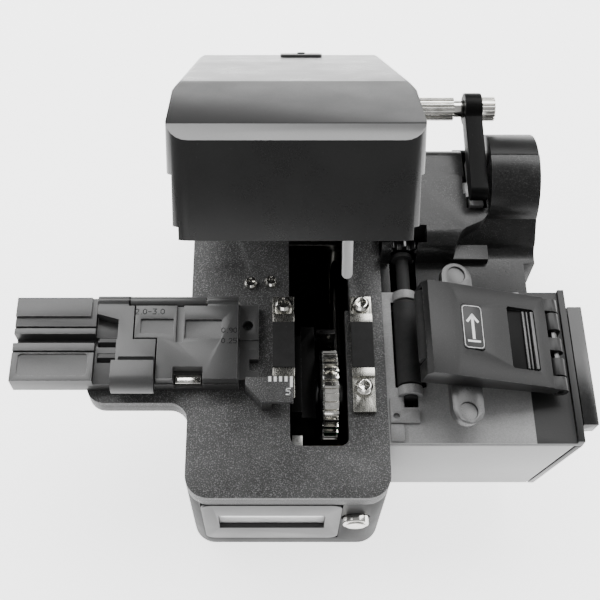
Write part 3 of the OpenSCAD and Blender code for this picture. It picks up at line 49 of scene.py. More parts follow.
class Wire:  # one socket, so that shader maths reads as ordinary sums
    def __init__(self, graph, socket):
        self.graph = graph
        self.socket = socket

    def combine(self, operation, first, second):
        return self.graph.add("ShaderNodeMath", {"operation": operation}, {0: first, 1: second})

    def __add__(self, other): return self.combine("ADD", self, other)
    def __radd__(self, other): return self.combine("ADD", other, self)
    def __sub__(self, other): return self.combine("SUBTRACT", self, other)
    def __rsub__(self, other): return self.combine("SUBTRACT", other, self)
    def __mul__(self, other): return self.combine("MULTIPLY", self, other)
    def __gt__(self, other): return self.combine("GREATER_THAN", self, other)
    def __lt__(self, other): return self.combine("LESS_THAN", self, other)
    def __abs__(self): return self.combine("ABSOLUTE", self, 0.0)
    def largest(self, other): return self.combine("MAXIMUM", self, other)

    def spread(self, low, high, toLow=0.0, toHigh=1.0):  # low..high becomes toLow..toHigh, smoothly
        return self.graph.add("ShaderNodeMapRange", {"interpolation_type": "SMOOTHSTEP"},
                              {0: self, 1: low, 2: high, 3: toLow, 4: toHigh})


class Graph:  # the nodes of one material
    def __init__(self, name):
        self.material = bpy.data.materials.new(name)
        self.material.use_nodes = True
        self.tree = self.material.node_tree
        self.shader = self.tree.nodes["Principled BSDF"]
        self.place = self.add("ShaderNodeTexCoord", {}, {}, "Object")
        axes = self.add("ShaderNodeSeparateXYZ", {}, {0: self.place})
        self.x, self.y, self.z = [Wire(self, o) for o in axes.socket.node.outputs]

    def add(self, kind, settings, inputs, output=0):
        node = self.tree.nodes.new(kind)
        for name, value in settings.items():
            setattr(node, name, value)
        for name, value in inputs.items():
            if isinstance(value, Wire):
                self.tree.links.new(value.socket, node.inputs[name])
            else:
                node.inputs[name].default_value = value
        return Wire(self, node.outputs[output])

    def noise(self, size, detail=2.0, rough=0.5, place=None):  # size is one feature in mm
        return self.add("ShaderNodeTexNoise", {"noise_dimensions": "3D"},
                        {"Vector": place or self.place, "Scale": 1000 / size, "Detail": detail,
                         "Roughness": rough})

    def cells(self, size):
        return self.add("ShaderNodeTexVoronoi", {"feature": "F1"},
                        {"Vector": self.place, "Scale": 1000 / size})

    def stretched(self, scale):  # object coordinates scaled along each axis
        return self.add("ShaderNodeVectorMath", {"operation": "MULTIPLY"}, {0: self.place, 1: scale})

    def blend(self, factor, first, second):
        return self.add("ShaderNodeMix", {"data_type": "RGBA"}, {0: factor, 6: first, 7: second}, 2)

    def edges(self, radius):  # 1 on outer and inner edges, 0 on open faces; radius in mm
        soft = self.add("ShaderNodeBevel", {"samples": 4}, {"Radius": radius * mm})
        flat = self.add("ShaderNodeNewGeometry", {}, {}, "Normal")
        dot = self.add("ShaderNodeVectorMath", {"operation": "DOT_PRODUCT"}, {0: soft, 1: flat}, "Value")
        return (1 - dot).spread(0.005, 0.12)

    def bump(self, height, depth):  # depth in mm
        return self.add("ShaderNodeBump", {}, {"Height": height, "Distance": depth * mm, "Strength": 1.0})

    def finish(self, colour, roughness, metallic=0.0, normal=None, plain=None):
        for name, value in (("Base Color", colour), ("Roughness", roughness), ("Metallic", metallic),
                            ("Normal", normal)):
            if isinstance(value, Wire):
                self.tree.links.new(value.socket, self.shader.inputs[name])
            elif value is not None:
                self.shader.inputs[name].default_value = value
        for name, value in (plain or {}).items():
            self.shader.inputs[name].default_value = value
        return self.material


def grey(level):
    return (level, level, level, 1)


# mouldings: tones are linear, sizes and depths in mm
mouldings = {
    "texturedPlate": {"tone": 0.040, "spread": 0.55, "rough": 0.46, "grain": 0.24, "depth": 0.050,
                      "spark": 0.42, "wear": 0.08, "sheen": 0.34,
                      "seam": 34.4, "seamWidth": 0.3, "lowTone": 0.006},
    "shellMoulding": {"tone": 0.008, "spread": 0.25, "rough": 0.45, "grain": 0.22, "depth": 0.008,
                      "spark": 0.03, "wear": 0.05, "sheen": 0.12},
    "trayMoulding": {"tone": 0.042, "spread": 0.18, "rough": 0.40, "grain": 0.20, "depth": 0.006,
                     "spark": 0.03, "wear": 0.16, "sheen": 0.55},
    "lidMoulding": {"tone": 0.010, "spread": 0.16, "rough": 0.30, "grain": 0.30, "depth": 0.002,
                    "spark": 0.0, "wear": 0.035, "sheen": 0.42},
    # lit and shaded copies of lidMoulding: the facet painted darker as shade, the bevel painted lighter as a
    # highlight
    "lidFacetPaintedShade": {"tone": 0.008, "spread": 0.16, "rough": 0.40, "grain": 0.30, "depth": 0.002,
                 "spark": 0.0, "wear": 0.035, "sheen": 0.14},
    "lidBevelPaintedHighlight": {"tone": 0.060, "spread": 0.10, "rough": 0.34, "grain": 0.30, "depth": 0.002,
                 "spark": 0.0, "wear": 0.10, "sheen": 0.80},
    "coverMoulding": {"tone": 0.013, "spread": 0.18, "rough": 0.34, "grain": 0.25, "depth": 0.004,
                      "spark": 0.02, "wear": 0.09, "sheen": 0.24},
    "tabMoulding": {"tone": 0.055, "spread": 0.16, "rough": 0.30, "grain": 0.3, "depth": 0.003,
                    "spark": 0.0, "wear": 0.10, "sheen": 0.5},
    "housingMoulding": {"tone": 0.008, "spread": 0.25, "rough": 0.30, "grain": 0.28, "depth": 0.014,
                        "spark": 0.10, "wear": 0.06, "sheen": 0.30},
    "drumMoulding": {"tone": 0.009, "spread": 0.25, "rough": 0.32, "grain": 0.3, "depth": 0.003,
                     "spark": 0.0, "wear": 0.05, "sheen": 0.14},
    "binTopMoulding": {"tone": 0.25, "spread": 0.20, "rough": 0.36, "grain": 0.26, "depth": 0.016,
                       "spark": 0.14, "wear": 0.25, "sheen": 0.25,
                       "seam": 35.75, "seamWidth": 0.1, "lowTone": 0.003,
                       "marginX": 52.6, "marginTone": 0.014},
    "bracketMoulding": {"tone": 0.16, "spread": 0.25, "rough": 0.42, "grain": 0.26, "depth": 0.016,
                        "spark": 0.12, "wear": 0.14, "sheen": 0.5},
    "blackSatin": {"tone": 0.0025, "spread": 0.2, "rough": 0.40, "grain": 0.6, "depth": 0.001,
                   "spark": 0.0, "wear": 0.03, "sheen": 0.07},
    "glossMoulding": {"tone": 0.003, "spread": 0.2, "rough": 0.18, "grain": 0.6, "depth": 0.001,
                      "spark": 0.0, "wear": 0.03, "sheen": 0.25},
    "binWall": {"tone": 0.26, "spread": 0.06, "rough": 0.38, "grain": 0.3, "depth": 0.002,
                "spark": 0.0, "wear": 0.42, "sheen": 0.5},
    "drawerMoulding": {"tone": 0.007, "spread": 0.2, "rough": 0.20, "grain": 0.4, "depth": 0.002,
                       "spark": 0.0, "wear": 0.10, "sheen": 0.4},
    "whiteMoulding": {"tone": 0.50, "spread": 0.05, "rough": 0.38, "grain": 0.4, "depth": 0.002,
                      "spark": 0.0, "wear": 0.6, "sheen": 0.5},
    "whiteInk": {"tone": 0.80, "spread": 0.04, "rough": 0.50, "grain": 0.2, "depth": 0.002,
                 "spark": 0.0, "wear": 0.8, "sheen": 0.4},
    # dark strokes painted as the shade in engraved figures
    "paintedGrooveShade": {"tone": 0.004, "spread": 0.1, "rough": 0.50, "grain": 0.2, "depth": 0.002,
                "spark": 0.0, "wear": 0.01, "sheen": 0.2},
    "greyPanel": {"tone": 0.010, "spread": 0.12, "rough": 0.34, "grain": 0.15, "depth": 0.002,
                  "spark": 0.0, "wear": 0.04, "sheen": 0.5},
    "labelFilm": {"tone": 0.004, "spread": 0.12, "rough": 0.30, "grain": 0.15, "depth": 0.002,
                  "spark": 0.0, "wear": 0.02, "sheen": 0.3},
}


# what every moulding shares
surface = {"lumps": 1.4, "broad": 9, "bodyFrom": 0.3, "bodyTo": 0.7,
           "glintSpecks": 0.9, "speckFrom": 0.57, "speckFade": 0.08, "paintedGlintTone": 0.30,
           "edge": 0.25, "chips": 1.3, "worn": 0.8, "dust": 0.5, "dustAmount": 0.05, "dustTone": 0.35,
           "seamTone": 0.002, "roughBroad": 0.18, "roughFine": 0.10, "roughWorn": 0.08, "roughSpeck": 0.4,
           "roughLeast": 0.08, "ior": 1.48}


def mouldedFinish(name, look):
    g = Graph(name)
    fine = g.noise(look["grain"], 3, 0.6)
    lumps = g.cells(look["grain"] * surface["lumps"])
    broad = g.noise(surface["broad"], 3, 0.55)
    # the specks are painted glints where the grained surface would catch the light; they lighten the colour
    # and also lower the roughness
    glintSpecks = (g.noise(look["grain"] * surface["glintSpecks"], 1, 0.4) - surface["speckFrom"]).spread(
        0.0, surface["speckFade"])
    worn = g.edges(surface["edge"]) * g.noise(surface["chips"], 3, 0.6).spread(0.40, 0.62)
    dust = g.noise(surface["dust"], 2, 0.5).spread(0.70, 0.80)
    tone = look["tone"]
    low, high = grey(tone * (1 - look["spread"])), grey(tone * (1 + look["spread"]))
    body = g.blend((fine * 0.55 + broad * 0.45).spread(surface["bodyFrom"], surface["bodyTo"]), low, high)
    # painted glints: the specks lighten the colour
    body = g.blend(glintSpecks * look["spark"], body, grey(surface["paintedGlintTone"]))
    body = g.blend(dust * surface["dustAmount"], body, grey(surface["dustTone"]))
    colour = g.blend(worn * surface["worn"], body, grey(look["wear"]))
    if "marginX" in look:  # plainer, darker margin to the right of this place
        colour = g.blend(g.x * 1000 > look["marginX"], colour, grey(look["marginTone"]))
    if "seam" in look:  # a dark parting line at this height, with a plainer band below it
        height = g.z * 1000
        below = height < look["seam"]
        colour = g.blend(below, colour, grey(look["lowTone"]))
        line = abs(height - look["seam"]) < look["seamWidth"] / 2
        colour = g.blend(line, colour, grey(surface["seamTone"]))
    rough = look["rough"] + (broad - 0.5) * surface["roughBroad"] + (fine - 0.5) * surface["roughFine"]
    rough = rough + worn * surface["roughWorn"] - glintSpecks * look["spark"] * surface["roughSpeck"]
    grain = fine * 0.6 + lumps * 0.4
    return g.finish(colour, rough.largest(surface["roughLeast"]), 0.0, g.bump(grain, look["depth"]),
                    plain={"IOR": surface["ior"], "Specular IOR Level": look["sheen"]})


metals = {
    "brightPlating": {"tone": (0.82, 0.81, 0.77), "rough": 0.12, "along": (1, 1, 1), "depth": 0.002},
    "brushedSteel": {"tone": (0.56, 0.56, 0.54), "rough": 0.30, "along": (1, 12, 1), "depth": 0.003},
    "groundAnvil": {"tone": (0.46, 0.455, 0.42), "rough": 0.26, "along": (10, 1, 10), "depth": 0.003},
    "carbideDisc": {"tone": (0.48, 0.49, 0.50), "rough": 0.18, "along": (1, 3, 3), "depth": 0.001},
    "darkSteel": {"tone": (0.10, 0.10, 0.10), "rough": 0.30, "along": (1, 10, 1), "depth": 0.002},
    "turnedBrass": {"tone": (0.78, 0.57, 0.22), "rough": 0.22, "along": (1, 14, 1), "depth": 0.002},
}


# what every metal shares
metalSurface = {"brushed": 1.6, "broad": 6, "marks": 0.8, "markStretch": (1, 5, 2), "edge": 0.15,
                "darker": 0.62, "lighter": 1.12, "worn": 0.5, "roughBrushed": 0.16, "roughBroad": 0.10,
                "roughMarks": 0.12, "roughLeast": 0.05}


def metalFinish(name, look):
    g = Graph(name)
    brushed = g.noise(metalSurface["brushed"], 4, 0.65, g.stretched(look["along"]))
    broad = g.noise(metalSurface["broad"], 3, 0.6)
    marks = g.noise(metalSurface["marks"], 2, 0.5, g.stretched(metalSurface["markStretch"])).spread(0.66, 0.72)
    dark = tuple(c * metalSurface["darker"] for c in look["tone"]) + (1,)
    light = tuple(min(1, c * metalSurface["lighter"]) for c in look["tone"]) + (1,)
    colour = g.blend((brushed * 0.6 + broad * 0.4).spread(0.25, 0.75), dark, light)
    colour = g.blend(g.edges(metalSurface["edge"]) * metalSurface["worn"], colour, light)
    rough = look["rough"] + (brushed - 0.5) * metalSurface["roughBrushed"]
    rough = rough + (broad - 0.5) * metalSurface["roughBroad"] + marks * metalSurface["roughMarks"]
    return g.finish(colour, rough.largest(metalSurface["roughLeast"]), 1.0,
                    g.bump(brushed + marks * 0.4, look["depth"]))


rubbers = {"blackRubber": 0.020, "anvilPad": 0.014}  # tones
rubberSurface = {"fine": 0.18, "broad": 3, "lint": 0.35, "lintAmount": 0.18, "lintTone": 0.22, "edge": 0.2,
                 "edgeAmount": 0.10, "rough": 0.72, "roughBroad": 0.2, "depth": 0.012}


def rubberFinish(name, tone):
    g = Graph(name)
    fine = g.noise(rubberSurface["fine"], 3, 0.6)
    broad = g.noise(rubberSurface["broad"], 3, 0.6)
    lint = g.noise(rubberSurface["lint"], 2, 0.5).spread(0.70, 0.78)
    body = g.blend((fine * 0.4 + broad * 0.6).spread(0.3, 0.7), grey(tone * 0.7), grey(tone * 1.35))
    rubbed = lint * rubberSurface["lintAmount"] + g.edges(rubberSurface["edge"]) * rubberSurface["edgeAmount"]
    colour = g.blend(rubbed, body, grey(rubberSurface["lintTone"]))
    rough = rubberSurface["rough"] + (broad - 0.5) * rubberSurface["roughBroad"]
    return g.finish(colour, rough, 0.0, g.bump(fine, rubberSurface["depth"]),
                    plain={"IOR": 1.5, "Specular IOR Level": 0.25})


def windowFinish(name):
    g = Graph(name)
    smudge = g.noise(5, 4, 0.6)
    colour = g.blend(smudge.spread(0.3, 0.7), grey(0.62), grey(0.70))
    rough = 0.10 + smudge * 0.12
    return g.finish(colour, rough, 0.0, g.bump(g.noise(2, 2), 0.001),
                    plain={"Coat Weight": 0.6, "Coat Roughness": 0.06})


def boardFinish(name):
    g = Graph(name)
    traces = g.add("ShaderNodeTexBrick", {"offset": 0.5},
                   {"Vector": g.place, "Scale": 420.0, "Mortar Size": 0.06, "Color1": (0.01, 0.10, 0.04, 1),
                    "Color2": (0.012, 0.13, 0.05, 1), "Mortar": (0.03, 0.24, 0.09, 1)})
    rough = 0.32 + g.noise(1.0, 2) * 0.1
    return g.finish(traces, rough, 0.0, g.bump(g.noise(0.4, 2), 0.004), plain={"Coat Weight": 0.3})


materials = {name: mouldedFinish(name, look) for name, look in mouldings.items()}
materials.update({name: metalFinish(name, look) for name, look in metals.items()})
materials.update({name: rubberFinish(name, tone) for name, tone in rubbers.items()})
materials["displayWindow"] = windowFinish("displayWindow")
materials["circuitBoard"] = boardFinish("circuitBoard")
print("finishes made:", len(materials))

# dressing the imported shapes


def newPiece(name, mesh, body, material, smoothAngle=32):
    piece = bpy.data.objects.new(name, mesh)
    bpy.context.scene.collection.objects.link(piece)
    piece.data.materials.clear()
    piece.data.materials.append(materials[material])
    piece.data.shade_smooth()
    piece.data.set_sharp_from_angle(angle=math.radians(smoothAngle))
    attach(piece, body)
    return piece


def edgedCopy(node, edge, steps=2, least=28):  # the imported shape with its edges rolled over, edge in mm
    source = frame["nodes"][node]
    shape = bmesh.new()
    shape.from_mesh(source.data)
    shape.transform(source.matrix_world)
    bmesh.ops.remove_doubles(shape, verts=shape.verts, dist=2e-6)
    bmesh.ops.dissolve_limit(shape, angle_limit=math.radians(0.6), verts=shape.verts, edges=shape.edges)
    if edge:
        sharp = [e for e in shape.edges if e.is_manifold and e.calc_face_angle(0) > math.radians(least)]
        bmesh.ops.bevel(shape, geom=sharp, offset=edge * mm, offset_type="OFFSET", segments=steps,
                        profile=0.6, affect="EDGES", clamp_overlap=True, harden_normals=False)
    mesh = bpy.data.meshes.new(node + "Mesh")
    shape.to_mesh(mesh)
    shape.free()
    return mesh


# finish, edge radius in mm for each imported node
dressing = {
    "base_shell": ("shellMoulding", 0.4), "bottom_cover": ("shellMoulding", 0.2),
    "rubber_base": ("blackRubber", 0.3), "bottom_screws": ("brightPlating", 0.12),
    "top_plate": ("texturedPlate", 0.45), "plate_screws": ("brightPlating", 0.1),
    "display_panel": ("greyPanel", 0.2), "display_window": ("displayWindow", 0.1),
    "counter_board": ("circuitBoard", 0.05), "battery": ("brushedSteel", 0.3),
    "front_button": ("brightPlating", 0.25), "left_anvil": ("groundAnvil", 0.12),
    "right_anvil": ("groundAnvil", 0.12), "left_anvil_pad": ("anvilPad", 0.12),
    "right_anvil_pad": ("anvilPad", 0.12), "anvil_screws": ("brightPlating", 0.09),
    "scale_plate": ("texturedPlate", 0.15), "guide_rails": ("brightPlating", 0.2),
    "rail_blocks": ("brushedSteel", 0.3), "blade_carriage": ("blackSatin", 0.3),
    "carriage_bushes": ("turnedBrass", 0.15), "blade_axle": ("darkSteel", 0.2),
    "blade_disc": ("carbideDisc", 0.03), "ratchet_wheel": ("brightPlating", 0.08),
    "index_pawl": ("darkSteel", 0.1), "holder_tray": ("trayMoulding", 0.16),
    "holder_main_flap": ("trayMoulding", 0.14), "holder_small_flap": ("trayMoulding", 0.14),
    "holder_hinge_pin": ("brushedSteel", 0.1), "latch_bar": ("brightPlating", 0.15),
    "hinge_bracket": ("shellMoulding", 0.3), "hinge_bushes": ("turnedBrass", 0.1),
    "lid_shell": ("lidMoulding", 0.8), "lid_inner_cover": ("shellMoulding", 0.2),
    "lid_screws": ("brightPlating", 0.08), "hinge_shaft": ("brightPlating", 0.1),
    "drive_arm": ("blackSatin", 0.45), "shaft_cap": ("brightPlating", 0.1),
    "striker_rod": ("whiteMoulding", 0.15), "left_clamp": ("brushedSteel", 0.2),
    "right_clamp": ("brushedSteel", 0.2), "clamp_pads_left": ("blackRubber", 0.15),
    "clamp_pads_right": ("blackRubber", 0.15), "bin_shell": ("binWall", 0.3),
    "bin_top": ("binTopMoulding", 0.2), "scrap_drawer": ("drawerMoulding", 0.3),
    "corner_bracket": ("bracketMoulding", 0.12), "feed_roller": ("blackRubber", 0.25),
    "pinch_roller": ("blackRubber", 0.2), "roller_cover": ("coverMoulding", 0.3),
    "lift_bar": ("tabMoulding", 0.3), "cover_label": ("labelFilm", 0.1),
    "cover_hinge_pin": ("darkSteel", 0.1), "drive_housing": ("housingMoulding", 0.35),
    "drum_rear": ("drumMoulding", 0.4), "drum_cap": ("brightPlating", 0.2),
    "drive_rack": ("whiteMoulding", 0.1), "drive_shaft": ("whiteMoulding", 0.08),
    "roller_gear": ("darkSteel", 0.08),
}
pieces = {}
for node, (finish, edge) in dressing.items():
    piece = newPiece(node + "_dressed", edgedCopy(node, edge), bodyOfNode[node], finish)
    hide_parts(node)
    pieces[node] = piece
print("packed shapes dressed:", len(pieces))


def turnAbout(x, y, z, degrees, axis):  # a turn about a line through a place in mm
    there = Matrix.Translation((x * mm, y * mm, z * mm))
    back = Matrix.Translation((-x * mm, -y * mm, -z * mm))
    return there @ Matrix.Rotation(math.radians(degrees), 4, axis) @ back


# the lid's facet is painted darker as shade and its bevel painted lighter as a highlight, with duller and
# brighter sheen than the rest, picked by slope in degrees when shut
lidShadeAndHighlightBands = {"facet": (11.5, 13.5, "lidFacetPaintedShade"), "bevel": (34.0, 41.0, "lidBevelPaintedHighlight")}
lidTurn = {"hingeY": 42.5, "hingeZ": 49.0, "open": 44.5, "sideways": 0.2}
raised = turnAbout(0, lidTurn["hingeY"], lidTurn["hingeZ"], -lidTurn["open"], "X")
shutTurn = raised.inverted().to_3x3()
lidPiece = pieces["lid_shell"]
for low, high, finish in lidShadeAndHighlightBands.values():
    lidPiece.data.materials.append(materials[finish])
    index = len(lidPiece.data.materials) - 1
    for face in lidPiece.data.polygons:
        way = shutTurn @ face.normal
        slope = math.degrees(math.atan2(-way.y, way.z))
        if abs(way.x) < lidTurn["sideways"] and low < slope < high:
            face.material_index = index


def topFrame(node, toward=(0, 0, 1)):  # a frame on the node's largest flat face that looks toward a direction
    mesh = frame["nodes"][node].data
    turn = frame["nodes"][node].matrix_world
    want = Vector(toward).normalized()
    faces = [(turn.to_3x3() @ f.normal, turn @ f.center, f.area) for f in mesh.polygons]
    faces = [f for f in faces if f[0].dot(want) > 0.6]
    best = max(faces, key=lambda f: sum(o[2] for o in faces if (o[0] - f[0]).length < 0.03
                                        and abs((o[1] - f[1]).dot(f[0])) < 2e-5))
    up = best[0].normalized()
    flat = [o for o in faces if (o[0] - up).length < 0.03 and abs((o[1] - best[1]).dot(up)) < 2e-5]
    middle = sum((o[1] * o[2] for o in flat), Vector()) / sum(o[2] for o in flat)
    across = (Vector((1, 0, 0)) - up * up.x).normalized()
    along = up.cross(across)
    turn = Matrix((across, along, up)).transposed().to_4x4()
    turn.translation = middle
    return turn


class Shape:  # a mesh built up from simple outlines, in mm
    def __init__(self, place=None):
        self.bm = bmesh.new()
        self.place = place or Matrix.Identity(4)

    def point(self, x, y, z):
        return self.bm.verts.new(self.place @ Vector((x * mm, y * mm, z * mm)))

    def slab(self, outline, z0, z1):  # outline of (x, y) run counter-clockwise
        low = [self.point(x, y, z0) for x, y in outline]
        high = [self.point(x, y, z1) for x, y in outline]
        self.bm.faces.new(list(reversed(low)))
        self.bm.faces.new(high)
        for i in range(len(outline)):
            j = (i + 1) % len(outline)
            self.bm.faces.new((low[i], low[j], high[j], high[i]))
        return self

    def run(self, outline, x0, x1):  # outline of (y, z) carried along x
        low = [self.point(x0, y, z) for y, z in outline]
        high = [self.point(x1, y, z) for y, z in outline]
        self.bm.faces.new(list(reversed(low)))
        self.bm.faces.new(high)
        for i in range(len(outline)):
            j = (i + 1) % len(outline)
            self.bm.faces.new((low[i], low[j], high[j], high[i]))
        return self

    def box(self, x0, y0, z0, x1, y1, z1):
        return self.slab([(x0, y0), (x1, y0), (x1, y1), (x0, y1)], z0, z1)

    def stroke(self, points, width, z0, z1):  # a ribbon that follows points, squared at its ends
        for (ax, ay), (bx, by) in zip(points, points[1:]):
            run = math.hypot(bx - ax, by - ay) or 1
            ux, uy = (bx - ax) / run * width / 2, (by - ay) / run * width / 2
            self.slab([(ax - ux + uy, ay - uy - ux), (bx + ux + uy, by + uy - ux),
                       (bx + ux - uy, by + uy + ux), (ax - ux - uy, ay - uy + ux)], z0, z1)
        return self

    def mesh(self, name, edge=0.0, steps=2):
        bmesh.ops.recalc_face_normals(self.bm, faces=self.bm.faces)
        if edge:
            sharp = [e for e in self.bm.edges if e.is_manifold and e.calc_face_angle(0) > 0.5]
            bmesh.ops.bevel(self.bm, geom=sharp, offset=edge * mm, offset_type="OFFSET", segments=steps,
                            profile=0.6, affect="EDGES", clamp_overlap=True)
        made = bpy.data.meshes.new(name + "Mesh")
        self.bm.to_mesh(made)
        self.bm.free()
        return made


def circle(x, y, r, steps=32, start=0.0, sweep=360.0):
    full = abs(sweep) >= 360
    count = steps if full else steps + 1
    return [(x + r * math.cos(math.radians(start + sweep * i / steps)),
             y + r * math.sin(math.radians(start + sweep * i / steps))) for i in range(count)]


def roundedPlan(x0, y0, x1, y1, r, steps=5):
    corners = ((x1 - r, y0 + r, -90), (x1 - r, y1 - r, 0), (x0 + r, y1 - r, 90), (x0 + r, y0 + r, 180))
    return [p for cx, cy, a in corners for p in circle(cx, cy, r, steps, a, 90)]


digitStrokes = {  # each digit drawn in a box 1 wide and 1.7 high
    "0": [(0.5, 0), (0, 0.4), (0, 1.3), (0.5, 1.7), (1, 1.3), (1, 0.4), (0.5, 0)],
    "2": [(0, 1.35), (0.4, 1.7), (1, 1.4), (0.9, 0.9), (0, 0), (1, 0)],
    "3": [(0, 1.7), (1, 1.7), (0.45, 1.0), (1, 0.7), (0.8, 0.05), (0, 0.1)],
    "5": [(1, 1.7), (0.1, 1.7), (0, 0.95), (0.75, 1.0), (1, 0.55), (0.7, 0), (0, 0.05)],
    "9": [(1, 1.0), (0.3, 0.8), (0, 1.3), (0.5, 1.7), (1, 1.3), (1, 0.5), (0.6, 0)],
    "-": [(0.1, 0.8), (0.9, 0.8)],
    ".": [(0.3, 0), (0.35, 0.05)],
}


def writeDigits(shape, text, x, y, height, weight, z0, z1):
    size = height / 1.7
    for mark in text:
        points = [(x + px * size, y + py * size) for px, py in digitStrokes[mark]]
        shape.stroke(points, weight, z0, z1)
        x += size * (0.9 if mark == "." else 1.45)


def detail(name, shape, node, material, edge=0.0, smoothAngle=40):
    return newPiece(name, shape.mesh(name, edge), bodyOfNode[node], material, smoothAngle)


def highest(node):
    box = frame["nodes"][node]
    return max((box.matrix_world @ v.co).z for v in box.data.vertices) / mm


# length scale: short marks, one long mark and its number, printed on the scale plate
scale = {"count": 5, "firstX": -3.8, "pitch": 1.15, "markWidth": 0.62, "y": -22.2, "short": 1.2, "long": 2.5,
         "digit": "5", "digitX": -0.3, "digitDrop": 4.2, "digitHeight": 1.4, "weight": 0.26,
         "sunk": 0.02, "ink": 0.03}
top = highest("scale_plate")
inkFrom, inkTo = top - scale["sunk"], top + scale["ink"]
marks = Shape()
for i in range(scale["count"]):
    x = scale["firstX"] + i * scale["pitch"]
    drop = scale["long"] if i == scale["count"] - 1 else scale["short"]
    marks.box(x - scale["markWidth"] / 2, scale["y"] - drop, inkFrom,
              x + scale["markWidth"] / 2, scale["y"], inkTo)
writeDigits(marks, scale["digit"], scale["digitX"], scale["y"] - scale["digitDrop"], scale["digitHeight"],
            scale["weight"], inkFrom, inkTo)
detail("scale_marks", marks, "scale_plate", "whiteInk")

# jacket sizes engraved in the holder's flap, drawn as thin dark strokes painted as the shade in their grooves:
# text, x, y, height and stroke width
sizes = {"sunk": 0.02, "ink": 0.02, "texts": (("2.0-3.0", -33.2, -8.0, 1.25, 0.17),
                                              ("0.90", -14.2, -12.5, 1.15, 0.15),
                                              ("0.25", -14.2, -15.0, 1.15, 0.15))}
flapTop = topFrame("holder_main_flap").translation.z / mm
numbers = Shape()
for text, x, y, height, weight in sizes["texts"]:
    writeDigits(numbers, text, x, y, height, weight, flapTop - sizes["sunk"], flapTop + sizes["ink"])
detail("size_numbers", numbers, "holder_main_flap", "paintedGrooveShade")

# sprung clips in the tray; the profile is in half widths across and mm above the tray
clips = {"x0": -41.2, "x1": -35.6, "y": (-13.6, -17.3), "width": 2.3, "edge": 0.12,
         "profile": ((-1, -0.6), (1, -0.6), (1, 0.1), (0.75, 0.5), (-0.2, 0.55), (-1, 0.05))}
trayTop = topFrame("holder_tray").translation.z / mm
half = clips["width"] / 2
clipShape = Shape()
for y in clips["y"]:
    clipShape.run([(y + half * across, trayTop + up) for across, up in clips["profile"]],
                  clips["x0"], clips["x1"])
detail("fibre_clips", clipShape, "holder_tray", "glossMoulding", clips["edge"])

# rounded hinge barrels over the holder's rear edge
barrels = {"y": -4.4, "z": 40.3, "r": 1.4, "sides": 30, "edge": 0.15,
           "spans": ((-41.6, -34.4, "holder_small_flap"), (-17.4, -10.8, "holder_main_flap"))}
for index, (x0, x1, node) in enumerate(barrels["spans"]):
    roll = Shape().run(circle(barrels["y"], barrels["z"], barrels["r"], barrels["sides"]), x0, x1)
    detail("hinge_barrel_" + str(index), roll, node, "glossMoulding", barrels["edge"])

# thumb latch: a rolled front with a hollow under it; the profile is back from the front and up from the top
thumb = {"x0": -36.2, "x1": -28.5, "front": -23.9, "top": 41.9, "edge": 0.1,
         "profile": ((5.6, -1.0), (5.6, 0.25), (4.4, 0.75), (3.2, 1.15), (2.2, 1.3), (1.2, 1.05), (0.6, 0.45),
                     (0.5, -0.3), (0.3, -0.9), (-0.1, -1.4), (-0.1, -2.0), (0.8, -2.1), (1.6, -1.6))}
thumbOutline = [(thumb["front"] + back, thumb["top"] + up) for back, up in thumb["profile"]]
detail("thumb_roll", Shape().run(thumbOutline, thumb["x0"], thumb["x1"]), "holder_small_flap", "drumMoulding",
       thumb["edge"])

# raised rib with a dark stud at the back of the lid's crown, set out with the lid shut
rib = {"x0": -1.5, "x1": 8.0, "y0": 36.5, "y1": 40.5, "z": 61.3, "tall": 0.7, "corner": 1.2, "edge": 0.25}
stud = {"r": 0.9, "sides": 20, "sunk": 0.4, "proud": 0.3, "edge": 0.2}
ribTop = rib["z"] + rib["tall"]
crownRib = Shape(raised).slab(roundedPlan(rib["x0"], rib["y0"], rib["x1"], rib["y1"], rib["corner"]),
                              rib["z"], ribTop)
detail("crown_rib", crownRib, "lid_shell", "tabMoulding", rib["edge"])
middle = ((rib["x0"] + rib["x1"]) / 2, (rib["y0"] + rib["y1"]) / 2)
crownStud = Shape(raised).slab(circle(*middle, stud["r"], stud["sides"]), ribTop - stud["sunk"],
                               ribTop + stud["proud"])
detail("crown_stud", crownStud, "lid_shell", "blackSatin", stud["edge"])

# back wall of the arm's slot
liner = {"x0": 40.2, "x1": 46.0, "edge": 0.2,
         "profile": ((35.7, 10.0), (38.8, 10.0), (38.8, 38.0), (38.0, 38.0), (38.0, 24.0), (35.7, 22.0))}
detail("slot_liner", Shape().run(liner["profile"], liner["x0"], liner["x1"]), "drive_housing",
       "housingMoulding", liner["edge"])

# pieces on the roller cover are set out with it shut, then lifted with it
cover = {"hingeX": 58.0, "hingeZ": 39.4, "lift": 12.0}
window = {"x0": 46.5, "x1": 52.9, "y0": -21.9, "y1": -7.7, "z": 41.0, "corner": 0.5, "glass": 0.12,
          "edge": 0.05}
# each rib's middle in from the window's right side, its width and its height above the glass
ribs = {"margin": 0.3, "foot": 0.1, "edge": 0.14,
        "rows": ((2.4, 0.5, 0.55), (1.5, 0.35, 0.45), (0.5, 0.7, 0.75))}
lifted = turnAbout(cover["hingeX"], 0, cover["hingeZ"], cover["lift"], "Y")
pane = roundedPlan(window["x0"], window["y0"], window["x1"], window["y1"], window["corner"])
glass = Shape(lifted).slab(pane, window["z"], window["z"] + window["glass"])
detail("window_glass", glass, "roller_cover", "blackSatin", window["edge"])
ribShape = Shape(lifted)
y0, y1 = window["y0"] + ribs["margin"], window["y1"] - ribs["margin"]
for inward, wide, tall in ribs["rows"]:
    x, low, high = window["x1"] - inward, window["z"] + ribs["foot"], window["z"] + tall
    ribShape.run([(y0, low), (y1, low), (y1, high), (y0, high)], x - wide / 2, x + wide / 2)
detail("window_ribs", ribShape, "roller_cover", "tabMoulding", ribs["edge"])
print("cover pieces set out")

